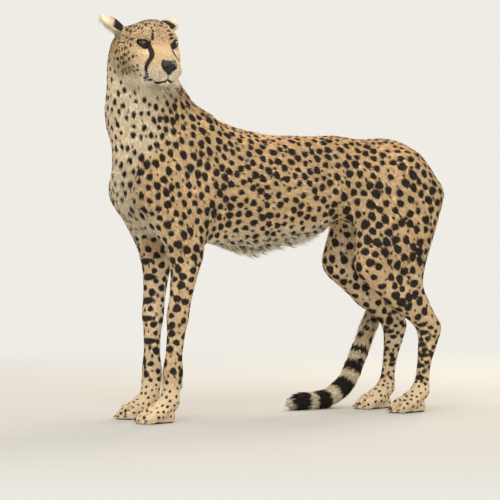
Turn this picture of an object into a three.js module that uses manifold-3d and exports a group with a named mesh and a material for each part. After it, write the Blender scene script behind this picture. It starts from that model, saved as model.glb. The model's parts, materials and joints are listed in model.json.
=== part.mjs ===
// A standing cheetah, life size, in millimetres. It heads towards -X, its left side is -Y and +Z is up.
// The body is one field of rounded masses that melt into each other. Each named part is the surface
// of that field inside the part's own bounds, so neighbouring parts meet at thin, flat cuts.
import * as THREE from 'three';
import { mergeVertices } from 'three/addons/utils/BufferGeometryUtils.js';
import Module from 'manifold-3d';

const wasm = await Module();
wasm.setup();

// ---------------------------------------------------------------- driving sizes
const GAP = 0.3;                 // between neighbouring parts
const LEG_SPREAD = 76;           // half the distance between a pair of feet
const WITHERS_HEIGHT = 770;
const BACK_HEIGHT = 712;
const SHOULDER_HEIGHT = 574;
const HIP_HEIGHT = 592;
const ELBOW_HEIGHT = 412;
const WRIST_HEIGHT = 128;
const KNEE_HEIGHT = 378;
const HOCK_HEIGHT = 208;
const CHEST_FLATNESS = 0.58;     // the trunk's width over its depth
const EYE_LEVEL = 938;
const EYE_SPREAD = 42;           // from the middle of the face to an eye
const EYE_RADIUS = 18;
const HEAD_TURN = THREE.MathUtils.degToRad(91);   // to the animal's left
const HEAD_DROP = THREE.MathUtils.degToRad(8);    // nose down

const COAT = { tan: 0xd9b483, pale: 0xe9d8bb };

// ---------------------------------------------------------------- the field
const clamp = (value, low, high) => Math.min(Math.max(value, low), high);

function melt(near, other, width) {
  const share = Math.max(width - Math.abs(near - other), 0) / width;
  return Math.min(near, other) - share * share * width / 4;
}

// A straight tapering mass from one round end to another, flattened along `across` where asked.
function taper(from, to, fromRadius, toRadius, flatness = 1, across = [0, 1, 0]) {
  const run = to.map((value, i) => value - from[i]);
  const stretch = 1 / flatness - 1;
  const lean = (x, y, z) => (x * across[0] + y * across[1] + z * across[2]) * stretch;
  const runLean = lean(...run);
  const [ux, uy, uz] = run.map((value, i) => value + across[i] * runLean);
  const length2 = Math.max(ux * ux + uy * uy + uz * uz, 1e-6);
  const scale = (1 + flatness) / 2;
  return (x, y, z) => {
    let px = x - from[0];
    let py = y - from[1];
    let pz = z - from[2];
    const push = lean(px, py, pz);
    px += across[0] * push;
    py += across[1] * push;
    pz += across[2] * push;
    const along = clamp((px * ux + py * uy + pz * uz) / length2, 0, 1);
    const reach = fromRadius + (toRadius - fromRadius) * along;
    return (Math.hypot(px - ux * along, py - uy * along, pz - uz * along) - reach) * scale;
  };
}

function chain(stations, flatness = 1) {
  return stations.slice(1).map((next, i) => {
    const last = stations[i];
    return taper(last.at, next.at, last.radius, next.radius, flatness);
  });
}

const together = (masses, width) => (x, y, z) => {
  let found = masses[0](x, y, z);
  for (let i = 1; i < masses.length; i += 1) {
    found = melt(found, masses[i](x, y, z), width);
  }
  return found;
};

// Presses `tool` into `base` with a soft rim.
const dished = (base, tool, width) => (x, y, z) => -melt(-base(x, y, z), tool(x, y, z), width);

// ---------------------------------------------------------------- trunk and neck
const trunkMasses = [
  ...chain([
    { at: [-352, 0, 598], radius: 104 },
    { at: [-245, 0, 590], radius: 166 },
    { at: [-100, 0, 572], radius: 143 },
    { at: [40, 0, 582], radius: 124 },
    { at: [150, 0, 604], radius: 103 },
    { at: [290, 0, BACK_HEIGHT - 112], radius: 98 },
    { at: [368, 0, 580], radius: 80 },
  ], CHEST_FLATNESS),
  taper([-372, 0, 560], [-335, 0, 488], 76, 58),                    // breast and brisket
  taper([-350, 0, 786], [-245, 0, WITHERS_HEIGHT - 32], 62, 30),    // crest of the neck
];

const neckMasses = [
  taper([-335, 0, 650], [-386, -3, 765], 118, 98, 0.82),
  taper([-386, -3, 765], [-412, -15, 885], 98, 80, 0.9),
];

// ---------------------------------------------------------------- legs
const LEG_BLEND = 24;
const FOOT_BLEND = 14;
const TOE_BLEND = 5;

function foreleg(side, stride) {
  const y = (value) => side * value;
  const foot = LEG_SPREAD;
  const wristX = -345 + stride;
  const limb = [
    taper([-240, y(44), WITHERS_HEIGHT - 28], [-392, y(70), SHOULDER_HEIGHT], 24, 46, 0.85),   // shoulder blade
    taper([-392, y(70), SHOULDER_HEIGHT], [-312, y(82), ELBOW_HEIGHT + 8], 48, 41),            // upper arm
    taper([-288, y(64), 560], [-288, y(82), ELBOW_HEIGHT + 22], 46, 24),                       // triceps
    taper([-308, y(82), ELBOW_HEIGHT], [-332 + stride / 2, y(foot + 2), 262], 40, 27),         // forearm
    taper([-332 + stride / 2, y(foot + 2), 262], [wristX, y(foot), WRIST_HEIGHT], 27, 23),
    taper([wristX, y(foot), WRIST_HEIGHT], [wristX - 8, y(foot), 52], 24, 22),                 // pastern
    taper([wristX + 16, y(foot), WRIST_HEIGHT - 12], [wristX + 18, y(foot), 98], 9, 8),        // wrist pad
    taper([wristX + 2, y(foot - 20), 78], [wristX - 8, y(foot - 22), 64], 8, 6),               // dewclaw
  ];
  return together([together(limb, LEG_BLEND), paw(wristX - 8, y(foot), 50)], FOOT_BLEND);
}

function hindleg(side, stride) {
  const y = (value) => side * value;
  const foot = LEG_SPREAD;
  const hockX = 398 + stride;
  const ball = 364 + stride;
  const limb = [
    taper([335, y(38), HIP_HEIGHT + 8], [236, y(80), KNEE_HEIGHT + 22], 84, 46, 0.8),          // thigh
    taper([352, y(50), 520], [300, y(78), 400], 66, 46, 0.85),
    taper([250, y(40), 580], [202, y(84), KNEE_HEIGHT + 20], 48, 31),                          // front of the thigh
    taper([404, y(46), 560], [338, y(80), 350], 50, 32),                                       // hamstrings
    taper([216, y(86), KNEE_HEIGHT - 4], [300, y(82), 298], 41, 33),                           // calf
    taper([300, y(82), 298], [hockX - 4, y(foot), HOCK_HEIGHT + 6], 33, 22),
    taper([335, y(80), 345], [hockX + 22, y(foot), HOCK_HEIGHT + 14], 26, 12),                 // heel tendon
    taper([hockX + 16, y(foot), HOCK_HEIGHT + 10], [hockX - 2, y(foot), HOCK_HEIGHT - 40], 15, 17),
    taper([hockX - 4, y(foot), HOCK_HEIGHT], [ball + 8, y(foot), 62], 24, 20),                 // long foot bone
  ];
  return together([together(limb, LEG_BLEND), paw(ball + 6, y(foot), 50)], FOOT_BLEND);
}

// A foot that points towards -X: its body, four toes, each with a raised knuckle, and the pads under them.
const PAW = { length: 92, width: 72, toeRadius: 14, toes: 4 };

function paw(ankleX, y, ankleHeight) {
  const front = ankleX - PAW.length + PAW.toeRadius;
  const foot = [
    taper([ankleX, y, ankleHeight], [ankleX - 34, y, 30], 23, 22),
    taper([ankleX - 2, y, 14], [ankleX - 36, y, 12], 17, 19),
    taper([ankleX - 36, y, 11], [front + 22, y, 9], 15, 13, 1.9),   // the web between the toes
  ];
  for (let i = 0; i < PAW.toes; i += 1) {
    const across = (i / (PAW.toes - 1) - 0.5) * (PAW.width - 2 * PAW.toeRadius);
    const outer = Math.abs(across) > PAW.width / 6;
    const tip = front + (outer ? 13 : 0);
    const knuckle = tip + 18;
    foot.push(taper([ankleX - 24, y + across * 0.7, 27], [knuckle, y + across, 23], 15, 14));
    foot.push(taper([knuckle, y + across, 23], [tip, y + across * 1.04, 9], 14, PAW.toeRadius - 1));
  }
  return together(foot, TOE_BLEND);
}

// ---------------------------------------------------------------- tail
const TAIL_STATIONS = [
  { at: [385, 2, 606], radius: 42 },
  { at: [445, 14, 568], radius: 30 },
  { at: [465, 56, 478], radius: 24 },
  { at: [420, 114, 360], radius: 23 },
  { at: [358, 145, 240], radius: 23 },
  { at: [312, 150, 130], radius: 23.5 },
  { at: [272, 144, 60], radius: 24 },
  { at: [204, 133, 24], radius: 24 },
  { at: [122, 118, 22], radius: 22 },
  { at: [94, 112, 17], radius: 15 },
];
const TAIL_STEPS = 3;            // lengths from one station to the next, for round bends
const TAIL_BLEND = 6;

function bentRound(stations, steps) {
  const bend = new THREE.CatmullRomCurve3(stations.map(({ at }) => new THREE.Vector3(...at)));
  const lengths = stations.length - 1;
  return Array.from({ length: lengths * steps + 1 }, (_, i) => {
    const last = stations[Math.min(Math.floor(i / steps), lengths - 1)];
    const next = stations[stations.indexOf(last) + 1];
    const share = i / steps - stations.indexOf(last);
    return {
      at: bend.getPoint(i / (lengths * steps)).toArray(),
      radius: last.radius + (next.radius - last.radius) * share,
    };
  });
}

const TAIL = bentRound(TAIL_STATIONS, TAIL_STEPS);

// ---------------------------------------------------------------- head
const headTurn = new THREE.Matrix4().makeRotationZ(Math.PI + HEAD_TURN);
const headDrop = new THREE.Matrix4().makeRotationY(HEAD_DROP);
const headPose = headTurn.multiply(headDrop);
headPose.setPosition(-403, -120, EYE_LEVEL);

// A place on the head: forward of the eyes, to its left, and above them.
function onHead(forward, left, up) {
  return new THREE.Vector3(forward, left, up).applyMatrix4(headPose).toArray();
}

function headWay(forward, left, up) {
  return new THREE.Vector3(forward, left, up).transformDirection(headPose).toArray();
}

function headTaper(from, to, fromRadius, toRadius, flatness = 1, across = [0, 1, 0]) {
  return taper(onHead(...from), onHead(...to), fromRadius, toRadius, flatness, headWay(...across));
}

function bothSides(make) {
  return [-1, 1].flatMap(make);
}

const skull = [
  headTaper([-94, 0, -20], [-46, 0, -2], 60, 55, 1.14),            // braincase
  headTaper([-40, 0, 13], [-14, 0, 5], 41, 33, 1.2),               // forehead
  headTaper([-14, 0, -2], [40, 0, -38], 27, 21, 1.25),             // bridge of the nose
  headTaper([-66, 0, -54], [6, 0, -76], 48, 30),                   // throat and jaw
  headTaper([10, 0, -74], [40, 0, -84], 28, 19, 1.2),              // chin
  ...bothSides((side) => [
    headTaper([-62, side * 50, -22], [-16, side * 38, -40], 36, 30),   // cheek
    headTaper([-26, side * 46, 8], [-3, side * 30, 18], 17, 14),       // brow
    headTaper([-4, side * 28, -40], [40, side * 21, -60], 25, 24.5),   // lip and whisker pad
    headTaper([-74, side * 46, 10], [-86, side * 68, 20], 26, 15),     // root of the ear
  ]),
];

const MUZZLE_BLEND = 16;
const headMasses = together(skull, MUZZLE_BLEND);
const sockets = bothSides((side) => [
  headTaper([6, side * (EYE_SPREAD + 2), -2], [24, side * (EYE_SPREAD + 22), -2], 12, 19),
]);
const headField = sockets.reduce((base, socket) => dished(base, socket, 10), headMasses);

// ---------------------------------------------------------------- the fields of the parts
const BODY_BLEND = 44;

const trunkField = together(trunkMasses, 34);
const neckField = together(neckMasses, 30);
const LEFT = -1;
const RIGHT = 1;
const forelegField = {
  [LEFT]: foreleg(LEFT, 0),
  [RIGHT]: foreleg(RIGHT, 18),
};
const hindlegField = {
  [LEFT]: hindleg(LEFT, 0),
  [RIGHT]: hindleg(RIGHT, -14),
};
const tailField = together(chain(TAIL), TAIL_BLEND);

const torsoField = together([
  together([trunkField, neckField], 60),
  forelegField[LEFT], forelegField[RIGHT],
  hindlegField[LEFT], hindlegField[RIGHT],
], BODY_BLEND);
const headAndNeckField = together([torsoField, headField], 34);

// ---------------------------------------------------------------- from field to faces
function slope(field, x, y, z) {
  const step = 0.5;
  return [
    field(x + step, y, z) - field(x - step, y, z),
    field(x, y + step, z) - field(x, y - step, z),
    field(x, y, z + step) - field(x, y, z - step),
  ].map((value) => value / (2 * step));
}

// Moves a point onto the surface, or leaves it where it isn't near one.
function settle(field, point, limit) {
  let [x, y, z] = point;
  for (let round = 0; round < 3; round += 1) {
    const away = field(x, y, z);
    const [sx, sy, sz] = slope(field, x, y, z);
    const steep = sx * sx + sy * sy + sz * sz;
    if (Math.abs(away) > limit || steep < 1e-4) return [x, y, z];
    x -= away * sx / steep;
    y -= away * sy / steep;
    z -= away * sz / steep;
  }
  return [x, y, z];
}

// One point in each cell that the surface crosses, and a quad round each grid edge that it crosses.
function netOf(field, box, cell) {
  const count = box.min.map((low, i) => Math.ceil((box.max[i] - low) / cell) + 1);
  const [nx, ny, nz] = count;
  const place = (axis, i) => box.min[axis] + i * cell;
  const index = (i, j, k) => (k * ny + j) * nx + i;
  const inside = new Float32Array(nx * ny * nz).fill(cell);
  for (let k = 1; k < nz - 1; k += 1) {
    for (let j = 1; j < ny - 1; j += 1) {
      for (let i = 1; i < nx - 1; i += 1) {
        inside[index(i, j, k)] = field(place(0, i), place(1, j), place(2, k));
      }
    }
  }
  const points = [];
  const pointOf = new Map();
  const corners = [0, 1, 2, 3, 4, 5, 6, 7].map((bits) => [bits & 1, (bits >> 1) & 1, (bits >> 2) & 1]);
  const edges = corners.flatMap((corner, a) => [0, 1, 2]
    .filter((axis) => corner[axis] === 0)
    .map((axis) => [a, a | (1 << axis)]));
  for (let k = 0; k < nz - 1; k += 1) {
    for (let j = 0; j < ny - 1; j += 1) {
      for (let i = 0; i < nx - 1; i += 1) {
        const values = corners.map(([a, b, c]) => inside[index(i + a, j + b, k + c)]);
        const signs = values.filter((value) => value < 0).length;
        if (signs === 0 || signs === 8) continue;
        const sum = [0, 0, 0];
        let crossings = 0;
        for (const [a, b] of edges) {
          if ((values[a] < 0) === (values[b] < 0)) continue;
          const share = values[a] / (values[a] - values[b]);
          for (let axis = 0; axis < 3; axis += 1) {
            sum[axis] += corners[a][axis] + (corners[b][axis] - corners[a][axis]) * share;
          }
          crossings += 1;
        }
        const spot = [i, j, k].map((low, axis) => place(axis, low + sum[axis] / crossings));
        pointOf.set(index(i, j, k), points.length);
        points.push(settle(field, spot, cell));
      }
    }
  }
  const faces = [];
  const steps = [[1, 0, 0], [0, 1, 0], [0, 0, 1]];
  for (let k = 0; k < nz - 1; k += 1) {
    for (let j = 0; j < ny - 1; j += 1) {
      for (let i = 0; i < nx - 1; i += 1) {
        for (let axis = 0; axis < 3; axis += 1) {
          const [di, dj, dk] = steps[axis];
          const here = inside[index(i, j, k)] < 0;
          const there = inside[index(i + di, j + dj, k + dk)] < 0;
          if (here === there) continue;
          const [bi, bj, bk] = steps[(axis + 1) % 3];
          const [ci, cj, ck] = steps[(axis + 2) % 3];
          const ring = [
            index(i, j, k),
            index(i - bi, j - bj, k - bk),
            index(i - bi - ci, j - bj - cj, k - bk - ck),
            index(i - ci, j - cj, k - ck),
          ].map((cellIndex) => pointOf.get(cellIndex));
          if (!here) ring.reverse();
          faces.push([ring[0], ring[1], ring[2]], [ring[0], ring[2], ring[3]]);
        }
      }
    }
  }
  return { points, faces };
}

// ---------------------------------------------------------------- fewer faces where the form is plain
function facePlane(points, face) {
  const [a, b, c] = face.map((i) => points[i]);
  const u = b.map((value, i) => value - a[i]);
  const v = c.map((value, i) => value - a[i]);
  const normal = [u[1] * v[2] - u[2] * v[1], u[2] * v[0] - u[0] * v[2], u[0] * v[1] - u[1] * v[0]];
  const size = Math.hypot(...normal);
  return { normal: normal.map((value) => value / Math.max(size, 1e-9)), at: a, area: size / 2 };
}

function planeError(planes, point) {
  let total = 0;
  for (const { normal, at, area } of planes) {
    const away = normal[0] * (point[0] - at[0]) + normal[1] * (point[1] - at[1]) + normal[2] * (point[2] - at[2]);
    total += away * away * area;
  }
  return total;
}

// Joins the ends of the edges that matter least, no two of them neighbours and none over `longest`.
const SLIVER = 0.05;

function thinOnce(net, most, longest = Infinity) {
  const { points, faces } = net;
  const planes = faces.map((face) => facePlane(points, face));
  const facesAt = points.map(() => []);
  const nextTo = points.map(() => new Set());
  faces.forEach((face, number) => face.forEach((vertex, i) => {
    facesAt[vertex].push(number);
    nextTo[vertex].add(face[(i + 1) % 3]);
    nextTo[vertex].add(face[(i + 2) % 3]);
  }));
  const candidates = [];
  points.forEach((point, a) => nextTo[a].forEach((b) => {
    const length2 = point.reduce((sum, value, i) => sum + (value - points[b][i]) ** 2, 0);
    if (b < a || length2 > longest ** 2) return;
    const around = [...new Set([...facesAt[a], ...facesAt[b]])].map((number) => planes[number]);
    const middle = point.map((value, i) => (value + points[b][i]) / 2);
    const spots = [middle, point, points[b]];
    const errors = spots.map((spot) => planeError(around, spot));
    const best = errors.indexOf(Math.min(...errors));
    candidates.push({ a, b, spot: spots[best], cost: errors[best] + length2 * length2 * 1e-4 });
  }));
  candidates.sort((one, other) => one.cost - other.cost);
  const kept = points.slice();
  const becomes = points.map((_, i) => i);
  const busy = new Set();
  let left = faces.length;
  for (const { a, b, spot } of candidates) {
    if (left <= most) break;
    if (busy.has(a) || busy.has(b)) continue;
    const shared = [...nextTo[a]].filter((vertex) => nextTo[b].has(vertex));
    if (shared.length !== 2) continue;
    const moved = new Set([...facesAt[a], ...facesAt[b]]);
    const turned = [...moved].some((number) => {
      const face = faces[number];
      if ((face.includes(a) && face.includes(b)) || planes[number].area < SLIVER) return false;
      const trial = face.map((vertex) => (vertex === a || vertex === b ? spot : points[vertex]));
      const after = facePlane(trial, [0, 1, 2]);
      const before = planes[number].normal;
      const agree = after.normal.reduce((sum, value, i) => sum + value * before[i], 0);
      return agree < 0.5 || after.area < SLIVER;
    });
    if (turned) continue;
    kept[a] = spot;
    becomes[b] = a;
    left -= 2;
    [a, b, ...nextTo[a], ...nextTo[b]].forEach((vertex) => busy.add(vertex));
  }
  const newNumber = new Map();
  const newPoints = [];
  kept.forEach((point, i) => {
    if (becomes[i] !== i) return;
    newNumber.set(i, newPoints.length);
    newPoints.push(point);
  });
  const newFaces = faces
    .map((face) => face.map((vertex) => newNumber.get(becomes[vertex])))
    .filter(([a, b, c]) => a !== b && b !== c && c !== a);
  return { points: newPoints, faces: newFaces };
}

function thinAll(net, most, longest) {
  let found = net;
  for (let size = Infinity; found.faces.length > most && found.faces.length < size;) {
    size = found.faces.length;
    found = thinOnce(found, most, longest);
  }
  return found;
}

function thinned(net, field, most, cell) {
  const found = thinAll(net, most);
  return { points: found.points.map((point) => settle(field, point, cell / 2)), faces: found.faces };
}

// ---------------------------------------------------------------- solids
function solidFrom(points, faces) {
  return new wasm.Manifold(new wasm.Mesh({
    numProp: 3,
    vertProperties: new Float32Array(points.flat()),
    triVerts: new Uint32Array(faces.flat()),
  }));
}

function solidOf(geometry) {
  const plain = geometry.clone();
  plain.deleteAttribute('normal');
  plain.deleteAttribute('uv');
  const welded = mergeVertices(plain, 1e-4);
  return new wasm.Manifold(new wasm.Mesh({
    numProp: 3,
    vertProperties: new Float32Array(welded.attributes.position.array),
    triVerts: new Uint32Array(welded.index.array),
  }));
}

function geometryOf(solid) {
  const mesh = solid.getMesh();
  const geometry = new THREE.BufferGeometry();
  geometry.setAttribute('position', new THREE.BufferAttribute(mesh.vertProperties, 3));
  geometry.setIndex(new THREE.BufferAttribute(mesh.triVerts, 1));
  return geometry;
}

// The side of a plane that its normal points to, as a large block.
const WORLD = 3000;

function sideOf({ at, normal }, shift = 0) {
  const way = new THREE.Vector3(...normal).normalize();
  const block = new THREE.BoxGeometry(WORLD, WORLD, WORLD).translate(0, 0, WORLD / 2 + shift);
  block.applyQuaternion(new THREE.Quaternion().setFromUnitVectors(new THREE.Vector3(0, 0, 1), way));
  block.translate(...at);
  return solidOf(block);
}

const opposite = ({ at, normal }) => ({ at, normal: normal.map((value) => -value) });

// All that lies on the kept side of every plane, drawn back from each by half a gap.
function between(planes) {
  return planes.map((plane) => sideOf(plane, GAP / 2)).reduce((found, side) => found.intersect(side));
}

// The same space with half a gap added all round, to be taken out of a neighbour.
function room(planes) {
  return planes.map((plane) => sideOf(plane, -GAP / 2)).reduce((found, side) => found.intersect(side));
}

// The same solid without the tiny faces that a cut leaves along its rim.
const TINY_EDGE = 0.4;

function tidied(solid) {
  const { vertProperties, triVerts } = solid.getMesh();
  const inThrees = (list) => Array.from({ length: list.length / 3 }, (_, i) => Array.from(list.slice(3 * i, 3 * i + 3)));
  const net = thinAll({ points: inThrees(vertProperties), faces: inThrees(triVerts) }, 0, TINY_EDGE);
  return solidFrom(net.points, net.faces);
}

const meshes = [];

function addPart(name, rough, look) {
  const solid = tidied(rough);
  const { colour, roughness = 0.85, metalness = 0 } = look;
  const material = new THREE.MeshStandardMaterial({ color: colour, roughness, metalness });
  material.name = look.slot;
  const mesh = new THREE.Mesh(geometryOf(solid), material);
  mesh.name = name;
  meshes.push(mesh);
}

function bodySolid(field, min, max, cell, faces) {
  const net = thinned(netOf(field, { min, max }, cell), field, faces, cell);
  return solidFrom(net.points, net.faces);
}

// A solid's faces pushed outwards, to cut a seat for it in what it sits on.
function swollen(solid, by) {
  const mesh = solid.getMesh();
  const geometry = geometryOf(solid);
  geometry.computeVertexNormals();
  const { array } = geometry.attributes.normal;
  const pushed = mesh.vertProperties.map((value, i) => value + array[i] * by);
  return new wasm.Manifold(new wasm.Mesh({ numProp: 3, vertProperties: pushed, triVerts: mesh.triVerts }));
}

// ---------------------------------------------------------------- where the parts are divided
const FLOOR = { at: [0, 0, 0], normal: [0, 0, 1] };
const NECK_BASE = { at: [-455, 0, 640], normal: [-0.563, 0, 0.826] };
const HEAD_BASE = { at: [-411, -40, 880], normal: [0, -0.8, 0.6] };
const ELBOW_LEVEL = { at: [0, 0, 406], normal: [0, 0, -1] };
const FOREPAW_LEVEL = { at: [0, 0, 92], normal: [0, 0, -1] };
const FORELEG_BACK = { at: [-212, 0, 0], normal: [-1, 0, 0] };
const SHOULDER_TOP = { at: [0, 0, 716], normal: [0, 0, -1] };
const THIGH_FRONT = { at: [132, 0, 0], normal: [1, 0, 0] };
const THIGH_TOP = { at: [0, 0, 640], normal: [0, 0, -1] };
const KNEE_CUT = { at: [205, 0, KNEE_HEIGHT + 2], normal: [-0.15, 0, -0.99] };
const HOCK_CUT = { at: [390, 0, HOCK_HEIGHT + 20], normal: [0.325, 0, -0.946] };
const HIND_PAW_LEVEL = { at: [0, 0, 76], normal: [0, 0, -1] };

const shoulderSide = (side) => ({ at: [0, side * 60, 560], normal: [0, side * 0.996, -0.09] });
const elbowSide = (side) => ({ at: [0, side * 38, 0], normal: [0, side, 0] });
const thighSide = (side) => ({ at: [0, side * 46, 600], normal: [0, side * 0.963, -0.27] });
const legSide = (side) => ({ at: [0, 0, 0], normal: [0, side, 0] });

function upperForelegSpace(side) {
  return [shoulderSide(side), opposite(ELBOW_LEVEL), SHOULDER_TOP, FORELEG_BACK, opposite(NECK_BASE)];
}

function thighSpace(side) {
  return [thighSide(side), legSide(side), THIGH_FRONT, THIGH_TOP, opposite(KNEE_CUT)];
}

// ---------------------------------------------------------------- tail, made first as the rump seats it
const TAIL_CUTS = [3 * TAIL_STEPS, 6 * TAIL_STEPS].map((station) => {
  const here = TAIL[station].at;
  const next = TAIL[station + 1].at;
  return { at: here, normal: next.map((value, i) => value - here[i]) };
});
const coat = { slot: 'coat', colour: COAT.tan };
const wholeTail = bodySolid(tailField, [50, -40, -12], [520, 190, 660], 8, 640);
const tailBase = wholeTail.intersect(between([opposite(TAIL_CUTS[0])]));
const tailSeat = swollen(tailBase, GAP + 0.1);
addPart('tail_base', tailBase, coat);
addPart('tail_middle', wholeTail.intersect(between([TAIL_CUTS[0], opposite(TAIL_CUTS[1])])), coat);
addPart('tail_tip', wholeTail.intersect(between([TAIL_CUTS[1]])).intersect(sideOf(FLOOR)), coat);

// ---------------------------------------------------------------- trunk
const trunkBlock = bodySolid(torsoField, [-500, -180, 330], [500, 180, 830], 15, 1150);
const trunkCuts = [
  room([NECK_BASE]),
  room([ELBOW_LEVEL, FORELEG_BACK, elbowSide(LEFT)]),
  room([ELBOW_LEVEL, FORELEG_BACK, elbowSide(RIGHT)]),
  room([KNEE_CUT]),
  ...[LEFT, RIGHT].flatMap((side) => [room(upperForelegSpace(side)), room(thighSpace(side))]),
  tailSeat,
];
addPart('trunk', trunkCuts.reduce((block, cut) => block.subtract(cut), trunkBlock), coat);

// ---------------------------------------------------------------- neck
const neckBlock = bodySolid(headAndNeckField, [-540, -190, 600], [-200, 150, 1010], 13, 560);
addPart('neck', neckBlock.intersect(between([NECK_BASE, opposite(HEAD_BASE)])), coat);

// ---------------------------------------------------------------- legs
for (const [side, sideName] of [[LEFT, 'left'], [RIGHT, 'right']]) {
  const ys = side === LEFT ? [-170, 2] : [-2, 170];
  const at = (x, z) => [x, ys[0], z];
  const to = (x, z) => [x, ys[1], z];

  const shoulder = bodySolid(torsoField, at(-500, 380), to(-180, 745), 12, 420);
  addPart(`foreleg_upper_${sideName}`, shoulder.intersect(between(upperForelegSpace(side))), coat);

  const forearm = bodySolid(torsoField, at(-460, 60), to(-190, 470), 9, 340);
  const forearmSpace = [ELBOW_LEVEL, FORELEG_BACK, elbowSide(side), opposite(FOREPAW_LEVEL)];
  addPart(`foreleg_lower_${sideName}`, forearm.intersect(between(forearmSpace)), coat);

  const forepaw = bodySolid(forelegField[side], at(-480, -20), to(-280, 120), 5, 370);
  addPart(`forepaw_${sideName}`, forepaw.intersect(between([FOREPAW_LEVEL])).intersect(sideOf(FLOOR)), coat);

  const thigh = bodySolid(torsoField, at(100, 330), to(500, 680), 12, 420);
  addPart(`thigh_${sideName}`, thigh.intersect(between(thighSpace(side))).subtract(tailSeat), coat);

  const shank = bodySolid(hindlegField[side], at(120, 160), to(470, 420), 7, 320);
  addPart(`shank_${sideName}`, shank.intersect(between([KNEE_CUT, opposite(HOCK_CUT), legSide(side)])), coat);

  const longFoot = bodySolid(hindlegField[side], at(320, 50), to(460, 280), 7, 200);
  addPart(`hind_foot_${sideName}`, longFoot.intersect(between([HOCK_CUT, opposite(HIND_PAW_LEVEL)])), coat);

  const hindPaw = bodySolid(hindlegField[side], at(250, -20), to(440, 110), 5, 360);
  addPart(`hind_paw_${sideName}`, hindPaw.intersect(between([HIND_PAW_LEVEL])).intersect(sideOf(FLOOR)), coat);
}

// ---------------------------------------------------------------- head, ears, eyes and nose
const headBlock = bodySolid(headAndNeckField, [-540, -250, 760], [-290, 80, 1060], 5, 1450);
let head = headBlock.intersect(between([HEAD_BASE]));

function ball(center, radius, rings) {
  return solidOf(new THREE.SphereGeometry(radius, rings * 2, rings).translate(...center));
}

for (const [side, sideName] of [[-1, 'right'], [1, 'left']]) {
  const center = onHead(-13, side * (EYE_SPREAD - 5), -1);
  head = head.subtract(ball(center, EYE_RADIUS + GAP, 7));
  addPart(`eye_${sideName}`, ball(center, EYE_RADIUS, 7), { slot: 'eye', colour: 0x7a4a1c, roughness: 0.15 });
}

const noseField = together([
  headTaper([46, 0, -38], [60, 0, -46], 14, 9, 1.5),
  ...bothSides((side) => [headTaper([52, side * 12, -45], [60, side * 11, -50], 9.5, 8)]),
  headTaper([60, 0, -52], [62, 0, -66], 9, 3.5),
], 6);
const noseAt = onHead(54, 0, -50);
const noseReach = 38;
const nose = bodySolid(
  noseField,
  noseAt.map((value) => value - noseReach),
  noseAt.map((value) => value + noseReach),
  3.5,
  200,
);
head = head.subtract(swollen(nose, GAP));
addPart('nose', nose, { slot: 'nose', colour: 0x1c1817, roughness: 0.5 });

// An ear is a cupped leaf that stands out from the crown, its open side turned back and down.
const EAR = { depth: 15, wall: 3.2, back: 82, rise: 25 };
const EARS = [
  { name: 'ear_right', side: -1, length: 38, width: 31, spread: 70, way: [-0.5, 0.66, 0.5] },
  { name: 'ear_left', side: 1, length: 32, width: 25, spread: 57, way: [-0.7, 0.62, 0.42] },
];

function ear({ side, length, width, spread, way }) {
  const root = new THREE.Vector3(-EAR.back, side * spread, EAR.rise);
  const along = new THREE.Vector3(way[0], side * way[1], way[2]).normalize();
  const hollow = new THREE.Vector3(-0.3, side * 0.4, -0.87);
  hollow.addScaledVector(along, -hollow.dot(along)).normalize();
  const breadth = new THREE.Vector3().crossVectors(hollow, along);
  const frame = new THREE.Matrix4().makeBasis(along, breadth, hollow);
  const leaf = (shrink, lift) => {
    const bowl = new THREE.SphereGeometry(1, 12, 8);
    bowl.scale(length - shrink, width - shrink, EAR.depth - shrink);
    bowl.translate(length * 0.55, 0, lift);
    bowl.applyMatrix4(frame).translate(...root.toArray()).applyMatrix4(headPose);
    return solidOf(bowl);
  };
  const shell = leaf(0, 0).subtract(leaf(EAR.wall, EAR.wall * 2.6));
  const mouth = hollow.clone().negate().transformDirection(headPose).toArray();
  const rim = onHead(...root.clone().addScaledVector(hollow, EAR.depth * 0.36).toArray());
  return shell.intersect(sideOf({ at: rim, normal: mouth }));
}

for (const sizes of EARS) {
  addPart(sizes.name, ear(sizes).subtract(swollen(head, GAP + 0.1)), { slot: 'coat', colour: COAT.pale });
}
addPart('head', head, coat);

// ---------------------------------------------------------------- the whole, centred over the floor
const cheetah = new THREE.Group();
cheetah.name = 'cheetah';
const reach = new THREE.Box3();
for (const mesh of meshes) {
  mesh.geometry.computeBoundingBox();
  reach.union(mesh.geometry.boundingBox);
}
const middle = reach.getCenter(new THREE.Vector3());
for (const mesh of meshes) {
  mesh.geometry.translate(-middle.x, -middle.y, -reach.min.z);
  cheetah.add(mesh);
}

export default cheetah;
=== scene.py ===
# Cheetah, a still life-size museum model: skin, coat, eyes, nose, whiskers and claws round the solids.
import itertools
import json
import math

import bpy
import numpy as np
from mathutils import Matrix, Vector
from mathutils.bvhtree import BVHTree
from mathutils.kdtree import KDTree

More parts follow.
